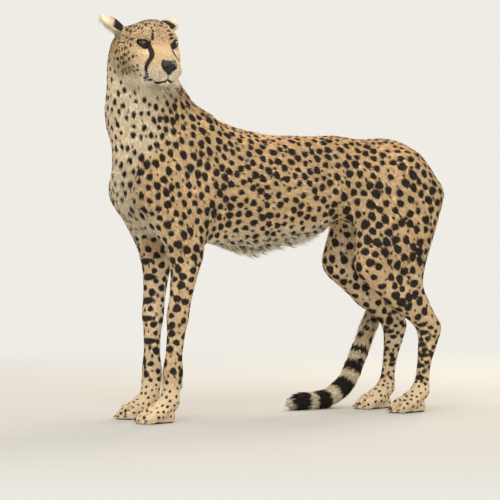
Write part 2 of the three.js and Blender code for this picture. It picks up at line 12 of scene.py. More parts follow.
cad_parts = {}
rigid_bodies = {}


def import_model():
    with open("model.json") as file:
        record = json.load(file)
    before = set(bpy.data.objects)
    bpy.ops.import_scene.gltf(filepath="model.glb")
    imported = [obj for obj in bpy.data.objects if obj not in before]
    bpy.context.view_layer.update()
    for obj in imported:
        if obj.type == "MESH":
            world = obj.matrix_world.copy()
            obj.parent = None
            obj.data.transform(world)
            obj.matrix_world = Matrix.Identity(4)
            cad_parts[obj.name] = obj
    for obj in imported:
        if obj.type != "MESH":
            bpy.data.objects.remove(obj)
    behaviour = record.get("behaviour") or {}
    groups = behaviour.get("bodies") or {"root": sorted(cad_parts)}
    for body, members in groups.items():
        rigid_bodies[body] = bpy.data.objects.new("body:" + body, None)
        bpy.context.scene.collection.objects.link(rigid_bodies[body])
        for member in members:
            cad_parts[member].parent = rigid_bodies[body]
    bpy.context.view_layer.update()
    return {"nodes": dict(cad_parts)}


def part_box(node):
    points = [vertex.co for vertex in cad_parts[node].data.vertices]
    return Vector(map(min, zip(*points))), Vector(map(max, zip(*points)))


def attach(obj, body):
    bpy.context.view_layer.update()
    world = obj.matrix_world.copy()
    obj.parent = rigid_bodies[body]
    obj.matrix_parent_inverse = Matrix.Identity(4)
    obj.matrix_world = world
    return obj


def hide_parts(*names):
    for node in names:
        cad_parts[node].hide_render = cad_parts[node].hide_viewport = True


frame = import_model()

dice = np.random.default_rng(7)
mm = 0.001


def nothingSelected():
    for other in bpy.context.view_layer.objects:
        other.select_set(False)


def onlySelected(piece):
    nothingSelected()
    bpy.context.view_layer.objects.active = piece
    piece.select_set(True)


def shapedInEdit(piece, steps):
    onlySelected(piece)
    bpy.ops.object.mode_set(mode="EDIT")
    bpy.ops.mesh.select_all(action="SELECT")
    steps()
    bpy.ops.object.mode_set(mode="OBJECT")


def applied(piece, kind, **settings):
    onlySelected(piece)
    modifier = piece.modifiers.new(kind.title(), kind)
    for name, value in settings.items():
        setattr(modifier, name, value)
    bpy.ops.object.modifier_apply(modifier=modifier.name)


def evened(piece, rounds, group=""):
    applied(piece, "SMOOTH", factor=0.5, iterations=rounds, vertex_group=group)


def linked(name, mesh):
    piece = bpy.data.objects.new(name, mesh)
    bpy.context.scene.collection.objects.link(piece)
    return piece


def nodeCopy(name, node):
    piece = linked(name, frame["nodes"][node].data.copy())
    piece.data.materials.clear()
    shapedInEdit(piece, lambda: bpy.ops.mesh.remove_doubles(threshold=0.00002))
    return piece


def meshPiece(name, points, faces):
    mesh = bpy.data.meshes.new(name)
    mesh.from_pydata([tuple(p) for p in points], [], [tuple(f) for f in faces])
    mesh.update()
    piece = linked(name, mesh)
    shapedInEdit(piece, lambda: bpy.ops.mesh.normals_make_consistent(inside=False))
    return piece


def smoothed(piece, material):
    piece.data.materials.append(material)
    onlySelected(piece)
    bpy.ops.object.shade_smooth()


# Enters edit mode with only the given points selected.
def editPoints(piece, chosen):
    onlySelected(piece)
    bpy.ops.object.mode_set(mode="EDIT")
    bpy.ops.mesh.select_mode(type="VERT")
    bpy.ops.mesh.select_all(action="DESELECT")
    bpy.ops.object.mode_set(mode="OBJECT")
    piece.data.vertices.foreach_set("select", chosen)
    bpy.ops.object.mode_set(mode="EDIT")


def valuesOf(items, name, width, kind=np.float32):
    flat = np.empty(len(items) * width, kind)
    items.foreach_get(name, flat)
    return flat.reshape(-1, width)


def pointsOf(piece):
    return valuesOf(piece.data.vertices, "co", 3).astype(float)


def normalsOf(piece):
    return valuesOf(piece.data.vertices, "normal", 3).astype(float)


def movePoints(piece, points):
    piece.data.vertices.foreach_set("co", points.astype(np.float32).ravel())
    piece.data.update()


def surfaceOf(piece):
    faces = [tuple(face.vertices) for face in piece.data.polygons]
    return BVHTree.FromPolygons([tuple(p) for p in pointsOf(piece)], faces)


def pointTree(places):
    tree = KDTree(len(places))
    for index, place in enumerate(places):
        tree.insert(place, index)
    tree.balance()
    return tree


def unit(vectors):
    return vectors / np.maximum(np.linalg.norm(vectors, axis=-1, keepdims=True), 1e-9)


def farFrom(points, place):
    return np.linalg.norm(points - np.array(place), axis=1)


def fade(value, start, end):
    t = np.clip((value - start) / (end - start), 0, 1)
    return t * t * (3 - 2 * t)


def setFloats(mesh, name, values):
    layer = mesh.attributes.new(name, "FLOAT", "POINT")
    layer.data.foreach_set("value", np.asarray(values, np.float32))


# Evens values out over the mesh, each point towards the mean of its neighbours.
def spread(values, edges, rounds, share=0.6):
    count = len(values)
    near = np.maximum(np.bincount(edges.ravel(), minlength=count), 1)
    one, two = edges[:, 0], edges[:, 1]
    values = np.array(values, float).reshape(count, -1)
    for _ in range(rounds):
        for column in range(values.shape[1]):
            own = values[:, column]
            total = np.bincount(one, weights=own[two], minlength=count)
            total += np.bincount(two, weights=own[one], minlength=count)
            values[:, column] += share * (total / near - own)
    return values


# Distance to a line through several places, and how far along it the nearest place is, from 0 to 1.
def lineDistance(points, path):
    best = np.full(len(points), 1e9)
    along = np.zeros(len(points))
    path = np.array(path, float)
    lengths = np.linalg.norm(path[1:] - path[:-1], axis=1)
    total = lengths.sum()
    before = 0
    for start, end, length in zip(path[:-1], path[1:], lengths):
        t = np.clip((points - start) @ (end - start) / length**2, 0, 1)
        distance = np.linalg.norm(points - start - t[:, None] * (end - start), axis=1)
        nearer = distance < best
        best[nearer] = distance[nearer]
        along[nearer] = (before + t[nearer] * length) / total
        before += length
    return best, along


def middleOf(node):
    low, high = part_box(node)
    return (low + high) / 2


# The head's own directions, from where the eyes are.
headPose = {"turn": 91, "drop": 8, "eyesBack": 13, "eyesDown": 1}
headWays = (Matrix.Rotation(math.radians(180 + headPose["turn"]), 3, "Z")
            @ Matrix.Rotation(math.radians(headPose["drop"]), 3, "Y"))
sideNames = {-1: "right", 1: "left"}
eyeNodes = {side: "eye_" + name for side, name in sideNames.items()}
eyeCentres = {side: middleOf(node) for side, node in eyeNodes.items()}
headMiddle = ((eyeCentres[-1] + eyeCentres[1]) / 2
              - headWays @ Vector((-headPose["eyesBack"], 0, -headPose["eyesDown"])) * mm)


def onHead(forward, left, up):
    return headMiddle + headWays @ Vector((forward, left, up)) * mm


def headWay(forward, left, up):
    return np.array((headWays @ Vector((forward, left, up))).normalized())


# Millimetres forward of the eyes, to the head's left, and above them.
def inHead(points):
    return (np.asarray(points) - np.array(headMiddle)) @ np.array(headWays) / mm


# Under the middle of the forelegs' line, where the animal's own measures start.
ownOrigin = headMiddle - Vector((-0.403, -0.120, 0.938))

print("stage")
camera = {"azimuth": -28, "elevation": 2, "distance": 9.0, "width": 1.275, "across": -0.0765,
          "height": 0.42075, "sensor": 36, "reach": 200}
turn, rise = math.radians(camera["azimuth"]), math.radians(camera["elevation"])
backWay = Vector((math.sin(turn) * math.cos(rise), -math.cos(turn) * math.cos(rise), math.sin(rise)))
sideWay = Vector((math.cos(turn), math.sin(turn), 0))
upWay = backWay.cross(sideWay)
aim = Vector((ownOrigin.x, ownOrigin.y, 0)) + sideWay * camera["across"] + upWay * camera["height"]
bpy.ops.object.camera_add(location=aim + backWay * camera["distance"])
cameraPiece = bpy.context.object
cameraPiece.name = "camera"
cameraPiece.rotation_mode = "QUATERNION"
cameraPiece.rotation_quaternion = (-backWay).to_track_quat("-Z", "Y")
cameraPiece.data.sensor_width = camera["sensor"]
cameraPiece.data.lens = camera["sensor"] * camera["distance"] / camera["width"]
cameraPiece.data.clip_end = camera["reach"]
bpy.context.scene.camera = cameraPiece
bpy.context.scene.view_settings.view_transform = "Standard"

studio = {"backdrop": (0.86, 0.84, 0.79), "floor": (0.52, 0.505, 0.475), "floorRadius": 40.0,
          "worldLight": 0.80, "worldColour": (1, 0.985, 0.96), "fadeStart": 0.9, "fadeEnd": 3.0}


def emptied(holder):
    holder.use_nodes = True
    holder.node_tree.nodes.clear()
    return holder.node_tree


# Puts a number, a colour or another node's output in a socket.
def put(tree, value, socket):
    if isinstance(value, bpy.types.NodeSocket):
        tree.links.new(value, socket)
    elif isinstance(value, tuple) and len(value) == 3 and socket.type == "RGBA":
        socket.default_value = (*value, 1)
    else:
        socket.default_value = value


def newNode(tree, kind, values=None, **settings):
    node = tree.nodes.new("ShaderNode" + kind)
    for name, value in settings.items():
        setattr(node, name, value)
    for socket, value in (values or {}).items():
        put(tree, value, node.inputs[socket])
    return node


def makeStage():
    world = bpy.data.worlds.new("studio")
    bpy.context.scene.world = world
    tree = emptied(world)
    light = newNode(tree, "Background", {"Color": studio["worldColour"], "Strength": studio["worldLight"]})
    seen = newNode(tree, "Background", {"Color": studio["backdrop"]})
    direct = newNode(tree, "LightPath").outputs["Is Camera Ray"]
    pick = newNode(tree, "MixShader", {0: direct, 1: light.outputs[0], 2: seen.outputs[0]})
    newNode(tree, "OutputWorld", {0: pick.outputs[0]})

    nothingSelected()
    bpy.ops.mesh.primitive_circle_add(vertices=96, radius=studio["floorRadius"], fill_type="TRIFAN",
                                      location=(0, 0, 0))
    floor = bpy.context.object
    floor.name = "floor"
    material = bpy.data.materials.new("studio_floor")
    tree = emptied(material)
    matt = newNode(tree, "BsdfDiffuse", {"Color": studio["floor"]})
    glow = newNode(tree, "Emission", {"Color": studio["backdrop"]})
    place = newNode(tree, "TexCoord")
    length = newNode(tree, "VectorMath", {0: place.outputs["Object"]}, operation="LENGTH")
    far = newNode(tree, "MapRange", {"Value": length.outputs["Value"], "From Min": studio["fadeStart"],
                                     "From Max": studio["fadeEnd"]}, interpolation_type="SMOOTHSTEP")
    mix = newNode(tree, "MixShader", {0: far.outputs["Result"], 1: matt.outputs[0], 2: glow.outputs[0]})
    newNode(tree, "OutputMaterial", {0: mix.outputs[0]})
    floor.data.materials.append(material)


makeStage()

lamps = {
    "key": {"from": (-2.3, -3.4, 3.5), "size": 3.2, "watts": 132, "colour": (1, 0.965, 0.90)},
    "rim": {"from": (2.6, 1.7, 2.3), "size": 1.8, "watts": 86, "colour": (1, 0.90, 0.74)},
    "top": {"from": (0.3, 0.3, 3.6), "size": 2.4, "watts": 36, "colour": (1, 0.98, 0.95)},
}
for lampName, lamp in lamps.items():
    bpy.ops.object.light_add(type="AREA", location=lamp["from"])
    light = bpy.context.object
    light.name = lampName
    light.data.size = lamp["size"]
    light.data.energy = lamp["watts"]
    light.data.color = lamp["colour"]
    light.rotation_mode = "QUATERNION"
    light.rotation_quaternion = (Vector((0, 0, 0.5)) - light.location).to_track_quat("-Z", "Y")


# A material's nodes, added and joined one at a time.
class Recipe:
    def __init__(self, name):
        self.material = bpy.data.materials.new(name)
        self.tree = emptied(self.material)
        self.shader = newNode(self.tree, "BsdfPrincipled")
        newNode(self.tree, "OutputMaterial", {0: self.shader.outputs[0]})
        self.place = newNode(self.tree, "TexCoord").outputs["Object"]

    def colour(self, value):
        put(self.tree, value, self.shader.inputs["Base Color"])

    def add(self, kind, output, values=None, **settings):
        return newNode(self.tree, kind, values, **settings).outputs[output]

    def attribute(self, name, output="Fac"):
        return self.add("Attribute", output, attribute_name=name)

    def math(self, operation, one, two=0.0, clamp=False):
        return self.add("Math", 0, {0: one, 1: two}, operation=operation, use_clamp=clamp)

    def ranged(self, value, low, high, toLow=0.0, toHigh=1.0):
        return self.add("MapRange", "Result", {"Value": value, "From Min": low, "From Max": high,
                                               "To Min": toLow, "To Max": toHigh})

    def noise(self, scale, detail=3.0, roughness=0.55, vector=None):
        return self.add("TexNoise", "Fac", {"Scale": scale, "Detail": detail, "Roughness": roughness,
                                            "Vector": self.place if vector is None else vector})

    def cells(self, scale):
        return self.add("TexVoronoi", "Distance", {"Scale": scale, "Vector": self.place})

    def mixed(self, share, one, two):
        return self.add("Mix", 2, {0: share, 6: one, 7: two}, data_type="RGBA")

    def bump(self, height, strength, distance):
        normal = self.add("Bump", 0, {"Strength": strength, "Distance": distance, "Height": height})
        self.tree.links.new(normal, self.shader.inputs["Normal"])

    def finish(self, **numbers):
        for name, value in numbers.items():
            self.shader.inputs[name.replace("_", " ")].default_value = value
        return self.material


coatColours = {"tan": (0.695, 0.495, 0.275), "cream": (0.88, 0.765, 0.565), "warm": (0.70, 0.44, 0.21),
               "black": (0.020, 0.015, 0.012), "brown": (0.036, 0.026, 0.019),
               "bare": (0.045, 0.035, 0.032), "edge": 0.0010, "ragged": 0.0011, "fleckAndShade": 0.22}


# Tan to cream ground with near-black marks, read from what the skin and the tufts carry.
def coatMaterial(name, tufted):
    r = Recipe(name)
    ground = r.mixed(r.attribute("warm"), coatColours["tan"], coatColours["warm"])
    ground = r.mixed(r.attribute("pale"), ground, coatColours["cream"])
    patches = r.ranged(r.noise(11, 2.0), 0.3, 0.7, 0.90, 1.08)
    speckle = r.ranged(r.noise(240, 3.0, 0.6), 0.3, 0.7, 0.88, 1.12)
    hair = r.ranged(r.attribute("shade"), 0, 1, 0.84, 1.16) if tufted else 1.0
    level = r.math("MULTIPLY", r.math("MULTIPLY", patches, speckle), hair)
    # Painted shade among the hairs: each tuft darkens towards its root and is a little lighter at its tip.
    if tufted:
        level = r.math("MULTIPLY", level, r.ranged(r.attribute("along"), 0, 1, 0.84, 1.10))
    # Dark flecks: mixed dark hairs on the crown, nape and cheeks, and painted shade on the muzzle and in the
    # grooves between the toes.
    flecksAndShade = r.math("MULTIPLY", r.ranged(r.noise(300, 2.0), 0.48, 0.58), r.attribute("grizzleAndShade"), clamp=True)
    level = r.math("MULTIPLY", level, r.ranged(flecksAndShade, 0, 1, 1, coatColours["fleckAndShade"]))
    ground = r.add("VectorMath", 0, {0: ground, "Scale": level}, operation="SCALE")
    edge, rough = coatColours["edge"], coatColours["ragged"]
    ragged = r.ranged(r.noise(520, 2.0), 0.25, 0.75, -rough, rough)
    marked = r.ranged(r.math("ADD", r.attribute("mark"), ragged), -edge, edge)
    dark = r.mixed(r.ranged(r.noise(300), 0.3, 0.7), coatColours["black"], coatColours["brown"])
    r.colour(r.mixed(r.attribute("bare"), r.mixed(marked, ground, dark), coatColours["bare"]))
    if not tufted:
        r.bump(r.math("ADD", r.noise(900, 3.0, 0.65), r.math("MULTIPLY", r.noise(260), 0.6)), 0.55, 0.0007)
    return r.finish(Roughness=0.78, Specular_IOR_Level=0.22)


skinMaterial = coatMaterial("short_coat", False)
tuftMaterial = coatMaterial("coat_tufts", True)

print("skin")
skinShape = {"swell": 0.0009, "voxel": 0.0024, "evenBody": 50, "evenTrunk": 200, "evenHead": 5,
             "bodyPoints": 42000, "jitter": 0.0004, "evenAfter": 5}
fleshNodes = [node for node in sorted(frame["nodes"]) if node not in ("eye_left", "eye_right", "nose")]
coatDepth = {"trunk": 0.0042, "neck": 0.0042, "thigh": 0.004, "shank": 0.003, "foreleg_upper": 0.0038,
             "foreleg_lower": 0.0026, "hind_foot": 0.0022, "forepaw": 0.0016, "hind_paw": 0.0016,
             "tail": 0.0020, "head": 0.0018, "ear": 0.0006}


def kindOf(node):
    for kind in coatDepth:
        if node.startswith(kind):
            return kind
    return node


# Which node each place belongs to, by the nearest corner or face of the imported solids.
class NearestNode:
    def __init__(self, nodes):
        places, owners = [], []
        for number, node in enumerate(nodes):
            piece = frame["nodes"][node]
            own = np.vstack([pointsOf(piece), valuesOf(piece.data.polygons, "center", 3)])
            places.append(own)
            owners.append(np.full(len(own), number))
        self.owners = np.concatenate(owners)
        self.tree = pointTree(np.vstack(places))

    def of(self, points):
        return self.owners[[self.tree.find(point)[1] for point in points]]


nearestNode = NearestNode(fleshNodes)
kinds = np.array([kindOf(node) for node in fleshNodes], object)


# The nodes of flesh joined and made one, evened least on the head, ears and paws and most on the broad parts.
def makeSkin():
    copies = [nodeCopy("flesh_" + node, node) for node in fleshNodes]
    for copy in copies:
        applied(copy, "DISPLACE", strength=skinShape["swell"], mid_level=0)
    nothingSelected()
    bpy.context.view_layer.objects.active = copies[0]
    for copy in copies:
        copy.select_set(True)
    bpy.ops.object.join()
    piece = bpy.context.object
    piece.name = piece.data.name = "skin"
    applied(piece, "REMESH", mode="VOXEL", voxel_size=skinShape["voxel"], adaptivity=0)
    pointKinds = kinds[nearestNode.of(pointsOf(piece))]
    fine = np.isin(pointKinds, ["head", "ear", "forepaw", "hind_paw"])
    broad = np.isin(pointKinds, ["trunk", "neck", "thigh", "foreleg_upper"])
    body = piece.vertex_groups.new(name="body")
    body.add(np.flatnonzero(~fine).tolist(), 1.0, "REPLACE")
    evened(piece, skinShape["evenHead"])
    evened(piece, skinShape["evenBody"], "body")
    body.remove(np.flatnonzero(~broad).tolist())
    evened(piece, skinShape["evenTrunk"], "body")
    # A little unevenness makes the thinning leave points of one spacing, and smoothing takes it out again.
    points, bodyCount = pointsOf(piece), int((~fine).sum())
    points[~fine] += normalsOf(piece)[~fine] * dice.uniform(-1, 1, (bodyCount, 1)) * skinShape["jitter"]
    movePoints(piece, points)
    editPoints(piece, ~fine)
    bpy.ops.mesh.select_mode(type="VERT")
    bpy.ops.mesh.decimate(ratio=skinShape["bodyPoints"] / bodyCount)
    bpy.ops.object.mode_set(mode="OBJECT")
    evened(piece, skinShape["evenAfter"])
    piece.vertex_groups.clear()
    return piece


skin = makeSkin()
print("skin points", len(skin.data.vertices), "faces", len(skin.data.polygons))
smoothed(skin, skinMaterial)
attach(skin, "root")
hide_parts(*fleshNodes)


print("lie of the coat")
lieWays = {"trunk": (1.0, 0, -0.32), "neck": (0.42, 0, -0.9), "foreleg_upper": (0.34, 0, -0.94),
           "foreleg_lower": (0.16, 0, -1.0), "forepaw": (-0.75, 0, -0.6), "thigh": (0.42, 0, -0.9),
           "shank": (0.42, 0, -0.9), "hind_foot": (0.05, 0, -1.0), "hind_paw": (-0.75, 0, -0.6)}
tailPath = np.array([
    (0.385, 0.002, 0.606), (0.445, 0.014, 0.568), (0.465, 0.056, 0.478), (0.420, 0.114, 0.360),
    (0.358, 0.145, 0.240), (0.312, 0.150, 0.130), (0.272, 0.144, 0.060), (0.204, 0.133, 0.024),
    (0.122, 0.118, 0.022), (0.074, 0.109, 0.016)]) + np.array(ownOrigin)
earSides = {"ear_right": -1, "ear_left": 1}


# An ear's root, the way to its tip, its length and the way that its hollow faces.
def earShape(node):
    points = pointsOf(frame["nodes"][node])
    centre = points.mean(0)
    toward = np.array(onHead(-84, earSides[node] * 40, 8))
    along = unit(centre - toward)
    reach = (points - centre) @ along
    root = centre + along * reach.min()
    return root, along, reach.max() - reach.min(), headWay(-0.3, earSides[node] * 0.4, -0.87)


ears = {node: earShape(node) for node in earSides}


# For each ear, the places that are its own, how far towards its tip they are, and how much they face out.
def earPlaces(points, normals, kindsHere):
    for root, along, length, hollow in ears.values():
        own = np.flatnonzero((kindsHere == "ear") & (farFrom(points, root) < length * 1.4))
        yield own, ((points[own] - root) @ along) / length, -(normals[own] @ hollow)


noseTip = np.array(middleOf("nose"))


# Which way the coat lies at each place; on the chest it hangs straight down.
def lieOf(points, owners):
    ways = np.zeros((len(points), 3))
    for number, node in enumerate(fleshNodes):
        own = owners == number
        if not own.any():
            continue
        kind = kinds[number]
        here = points[own]
        if kind == "tail":
            distances = [lineDistance(here, pair)[0] for pair in zip(tailPath[:-1], tailPath[1:])]
            ways[own] = unit(np.diff(tailPath, axis=0))[np.argmin(distances, axis=0)]
        elif kind == "ear":
            ways[own] = ears[node][1]
        elif kind == "head":
            ways[own] = unit(here - noseTip + headWay(1, 0, -0.1) * 0.02)
        else:
            ways[own] = lieWays[kind]
    chest = (fade(-points[:, 0], 0.33, 0.40) * fade(points[:, 2], 0.40, 0.47))[:, None]
    ways = ways * (1 - chest) + np.array([0.1, 0, -1.0]) * chest
    return unit(ways)


skinPoints, skinNormals = pointsOf(skin), normalsOf(skin)
skinEdges = valuesOf(skin.data.edges, "vertices", 2, np.int32)
skinOwners = nearestNode.of(skinPoints)
skinKinds = kinds[skinOwners]
skinLie = spread(lieOf(skinPoints, skinOwners), skinEdges, 24)
skinLie -= skinNormals * (skinLie * skinNormals).sum(1, keepdims=True)
skinLie = unit(skinLie)

print("face")
faceRidges = [  # forward, left, up, radius, out, in millimetres; each is made on both sides
    (-8, 34, 19, 15, 2.2), (-28, 50, -20, 20, 2.0), (0, 20, -9, 9, -2.2), (24, 20, -26, 13, -1.6),
    (38, 20, -66, 17, 2.6), (20, 30, -84, 13, 1.4), (44, 6, -96, 12, 1.2), (-22, 44, 20, 16, -1.2),
]
# The mouth, with half the width of its dark line, and the cleft under the nose; then the depth and half width
# of the groove along each. All in millimetres.
mouthLine = [(57, 0, -83, 3.0), (52, 14, -88, 4.0), (34, 29, -91, 5.4), (14, 37, -91, 6.6), (2, 41, -90, 6.4)]
cleftLine = [(60, 0, -68), (56, 0, -82)]
faceGrooves = {"mouth": (4.0, 2.4), "cleft": (1.8, 2.0)}


def nearestOnSkin(tree, place):
    return np.array(tree.find_nearest(Vector(place))[0])


# A line over the face, in short steps so that it keeps to the skin, with a half width at each where given.
def facePath(tree, line, side, parts=5):
    stops = [[a + (b - a) * part / parts for a, b in zip(one, other)]
             for one, other in zip(line[:-1], line[1:]) for part in range(parts)] + [line[-1]]
    path = [nearestOnSkin(tree, onHead(f, l * side, u)) for f, l, u, *_ in stops]
    return np.array(path), np.array([stop[3] if len(stop) > 3 else 0 for stop in stops]) * mm


def grooved(points, normals, path, groove):
    deep, wide = groove
    away = lineDistance(points, path)[0]
    return points - normals * (deep * mm * np.exp(-((away / (wide * mm)) ** 2)))[:, None]


def shapeFace():
    points, normals = pointsOf(skin), normalsOf(skin)
    tree = surfaceOf(skin)
    for forward, left, up, radius, out in faceRidges:
        for side in (-1, 1):
            centre = nearestOnSkin(tree, onHead(forward, left * side, up))
            near = farFrom(points, centre) / (radius * mm * 1.6)
            points += normals * (out * mm * (1 - fade(near, 0, 1)))[:, None]
    for side in (-1, 1):
        points = grooved(points, normals, facePath(tree, mouthLine, side)[0], faceGrooves["mouth"])
    cleft = [nearestOnSkin(tree, onHead(*place)) for place in cleftLine]
    movePoints(skin, grooved(points, normals, cleft, faceGrooves["cleft"]))


# The toes of a paw: how far apart they are, and the size of the grooves between them and of their knuckles.
toeShape = {"apart": 0.0162, "groove": 0.0075, "grooveWidth": 0.0030, "grooveLength": 0.054,
            "knuckle": 0.0012, "knuckleBack": 0.022, "knuckleWidth": 0.0065, "knuckleLength": 0.010,
            "outerBack": 0.013, "clawHeight": 0.0095}
toeSteps = (-1.5, -0.5, 0.5, 1.5)
pawNodes = [node for node in fleshNodes if kindOf(node) in ("forepaw", "hind_paw")]


# Places over a paw: across from its middle, back from its front, in each groove between its toes, and how
# far the grooves still reach there.
def pawPlaces(points, node):
    low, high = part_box(node)
    across, back = points[:, 1] - (low.y + high.y) / 2, points[:, 0] - low.x
    grooves = [np.exp(-(((across - step * toeShape["apart"]) / toeShape["grooveWidth"]) ** 2))
               for step in (-1, 0, 1)]
    return across, back, grooves, 1 - fade(back, toeShape["grooveLength"] * 0.5, toeShape["grooveLength"])


def outerBack(step):
    return toeShape["outerBack"] if abs(step) > 1 else 0


def shapePaws():
    points, normals = pointsOf(skin), normalsOf(skin)
    for node in pawNodes:
        own = np.flatnonzero(skinOwners == fleshNodes.index(node))
        here, facing = points[own], normals[own]
        across, back, grooves, reach = pawPlaces(here, node)
        upper = fade(facing[:, 2] * 0.7 - facing[:, 0] * 0.9, -0.1, 0.3) * fade(here[:, 2], 0.002, 0.008)
        out = np.zeros(len(own))
        for groove in grooves:
            out -= groove * toeShape["groove"] * reach * upper
        for step in toeSteps:
            sideways = (across - step * toeShape["apart"]) / toeShape["knuckleWidth"]
            along = (back - (toeShape["knuckleBack"] + outerBack(step))) / toeShape["knuckleLength"]
            out += np.exp(-(sideways ** 2 + along ** 2)) * toeShape["knuckle"] * upper
        points[own] += facing * out[:, None]
    movePoints(skin, points)


depths = np.array([coatDepth[kind] for kind in skinKinds])
depths = spread(depths, skinEdges, 16)[:, 0]
depths[(skinPoints[:, 2] < 0.006) & (skinNormals[:, 2] < -0.4)] = 0.0
aboveFloor = 0.0004
drawnIn = skinPoints - skinNormals * depths[:, None]
drawnIn[:, 2] = np.maximum(drawnIn[:, 2], aboveFloor)
movePoints(skin, drawnIn)
shapeFace()
shapePaws()

print("eyes")
eyeShape = {"radius": 18.0, "outward": 9, "tilt": 19, "halfWidth": 16.2, "halfHeight": 7.5, "cornea": 1.3,
            "iris": 0.86, "pupil": 0.26}
eyeRadius = eyeShape["radius"] * mm
farOut = 9.0  # stands for everywhere away from the eye
# The opening of the lids: half its size as shares of the eyeball, the powers that round it, and how far its
# inner end hangs down.
opening = {"wide": eyeShape["halfWidth"] / eyeShape["radius"],
           "tall": eyeShape["halfHeight"] / eyeShape["radius"], "powers": (1.75, 1.55, 1.65), "sag": 0.10}


# The eye's own directions: the way it looks, out towards its outer corner, and up.
def eyeWays(side):
    out, tilt = math.radians(eyeShape["outward"]), math.radians(eyeShape["tilt"])
    look = Vector(headWay(math.cos(out), side * math.sin(out), 0.02))
    outer = Vector(headWay(-math.sin(out), side * math.cos(out), 0))
    up = outer.cross(look).normalized()
    if up.dot(Vector(headWay(0, 0, 1))) < 0:
        up = -up
    outer, up = outer * math.cos(tilt) + up * math.sin(tilt), up * math.cos(tilt) - outer * math.sin(tilt)
    return np.array(look), np.array(outer), np.array(up)


# How far out a place lies from the eye's middle, where 1 is on the edge of the lids.
def lidShare(side, points):
    look, outer, up = eyeWays(side)
    away = unit(points - np.array(eyeCentres[side]))
    across, high, front = away @ outer, away @ up, away @ look
    x = across / opening["wide"]
    y = (high + np.where(across < 0, opening["sag"] * x * x, 0.0)) / opening["tall"]
    one, two, whole = opening["powers"]
    share = (np.abs(x) ** one + np.abs(y) ** two) ** (1 / whole)
    near = farFrom(points, eyeCentres[side]) < eyeRadius * 2.0
    return np.where((front > 0.05) & near, share, farOut)


# In millimetres over the eyeball, and in shares of the opening and of the eyeball's radius.
lidFit = {"over": 0.9, "least": 0.5, "inside": 0.92, "sunk": 0.80, "free": (1.25, 2.0), "away": (1.2, 1.5),
          "reach": 2.4}


# Puts the skin behind the eyeball inside the opening, just over it round that, and leaves it further out.
def fitSkinToEyes():
    points = pointsOf(skin)
    for side in (-1, 1):
        centre = np.array(eyeCentres[side])
        near = farFrom(points, centre) < eyeRadius * lidFit["reach"]
        share = lidShare(side, points[near])
        away = points[near] - centre
        distance = np.linalg.norm(away, axis=1)
        start, end = (eyeRadius * part for part in lidFit["away"])
        held = np.maximum(fade(share, *lidFit["free"]), fade(distance, start, end))
        wanted = (eyeRadius + lidFit["over"] * mm) * (1 - held) + distance * held
        wanted = np.maximum(wanted, eyeRadius + lidFit["least"] * mm)
        wanted = np.where(share < lidFit["inside"], eyeRadius * lidFit["sunk"], wanted)
        points[near] = centre + away / distance[:, None] * wanted[:, None]
    movePoints(skin, points)


fitSkinToEyes()

eyeColours = {"amber": (0.070, 0.036, 0.011), "deep": (0.034, 0.018, 0.007), "rim": (0.035, 0.018, 0.008),
              "white": (0.10, 0.075, 0.055), "pupil": (0.004, 0.004, 0.004)}


def eyeMaterial():
    r = Recipe("eye_gloss")
    turned = r.attribute("fromPupil")
    rays = r.noise(7.0, 4.0, 0.6, r.attribute("irisWay", "Vector"))
    iris, pupil = eyeShape["iris"], eyeShape["pupil"]
    colour = r.mixed(r.ranged(rays, 0.35, 0.65), eyeColours["deep"], eyeColours["amber"])
    colour = r.mixed(r.ranged(turned, 0.60, iris), colour, eyeColours["rim"])
    colour = r.mixed(r.ranged(turned, iris - 0.03, iris + 0.03), colour, eyeColours["white"])
    r.colour(r.mixed(r.ranged(turned, pupil + 0.02, pupil - 0.02), colour, eyeColours["pupil"]))
    return r.finish(Roughness=0.15, Coat_Weight=0.2, Coat_Roughness=0.02, Specular_IOR_Level=0.2)


eyeGloss = eyeMaterial()


def makeEye(side):
    look, outer, up = eyeWays(side)
    nothingSelected()
    ways = Matrix((outer, up, look)).transposed()
    if ways.determinant() < 0:
        ways = Matrix((-outer, up, look)).transposed()
    bpy.ops.mesh.primitive_uv_sphere_add(segments=64, ring_count=48, radius=eyeRadius)
    piece = bpy.context.object
    piece.name = piece.data.name = "eyeball_" + sideNames[side]
    points = pointsOf(piece)
    turned = np.arccos(np.clip(points[:, 2] / np.linalg.norm(points, axis=1), -1, 1))
    bulge = 1 + eyeShape["cornea"] / eyeShape["radius"] * (1 - fade(turned, 0.1, 0.6))
    around = np.arctan2(points[:, 1], points[:, 0])
    points = (points * bulge[:, None]) @ np.array(ways).T + np.array(eyeCentres[side])
    movePoints(piece, points)
    setFloats(piece.data, "fromPupil", turned)
    layer = piece.data.attributes.new("irisWay", "FLOAT_VECTOR", "POINT")
    way = np.stack([np.cos(around), np.sin(around), turned * 0.35], axis=1)
    layer.data.foreach_set("vector", way.astype(np.float32).ravel())
    smoothed(piece, eyeGloss)
    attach(piece, "root")
    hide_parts(eyeNodes[side])


def leatherMaterial(name, colour, shine, grain, gleam=0.28):
    r = Recipe(name)
    pores = r.cells(grain)
    tone = r.mixed(r.ranged(pores, 0.1, 0.6), tuple(c * 0.55 for c in colour), colour)
    tone = r.mixed(r.ranged(r.noise(70), 0.35, 0.7), tone, tuple(c * 1.5 for c in colour))
    r.colour(tone)
    r.bump(r.math("ADD", pores, r.math("MULTIPLY", r.noise(420), 0.5)), 0.5, 0.0006)
    return r.finish(Roughness=shine, Specular_IOR_Level=gleam)


darkLeather = leatherMaterial("dark_leather", (0.018, 0.015, 0.015), 0.40, 900)
lidLeather = leatherMaterial("lid_leather", (0.009, 0.007, 0.006), 0.8, 1300, 0.12)

lidRings = [  # how far out from the opening, and how high over the eyeball, in millimetres
    (0.96, -0.5), (0.98, 0.3), (1.0, 0.8), (1.05, 1.2), (1.13, 1.45), (1.24, 1.4), (1.38, 1.0), (1.54, -0.6),
]


def roundSteps(steps):
    turns = [2 * math.pi * step / steps for step in range(steps)]
    return [(math.cos(turned), math.sin(turned)) for turned in turns]


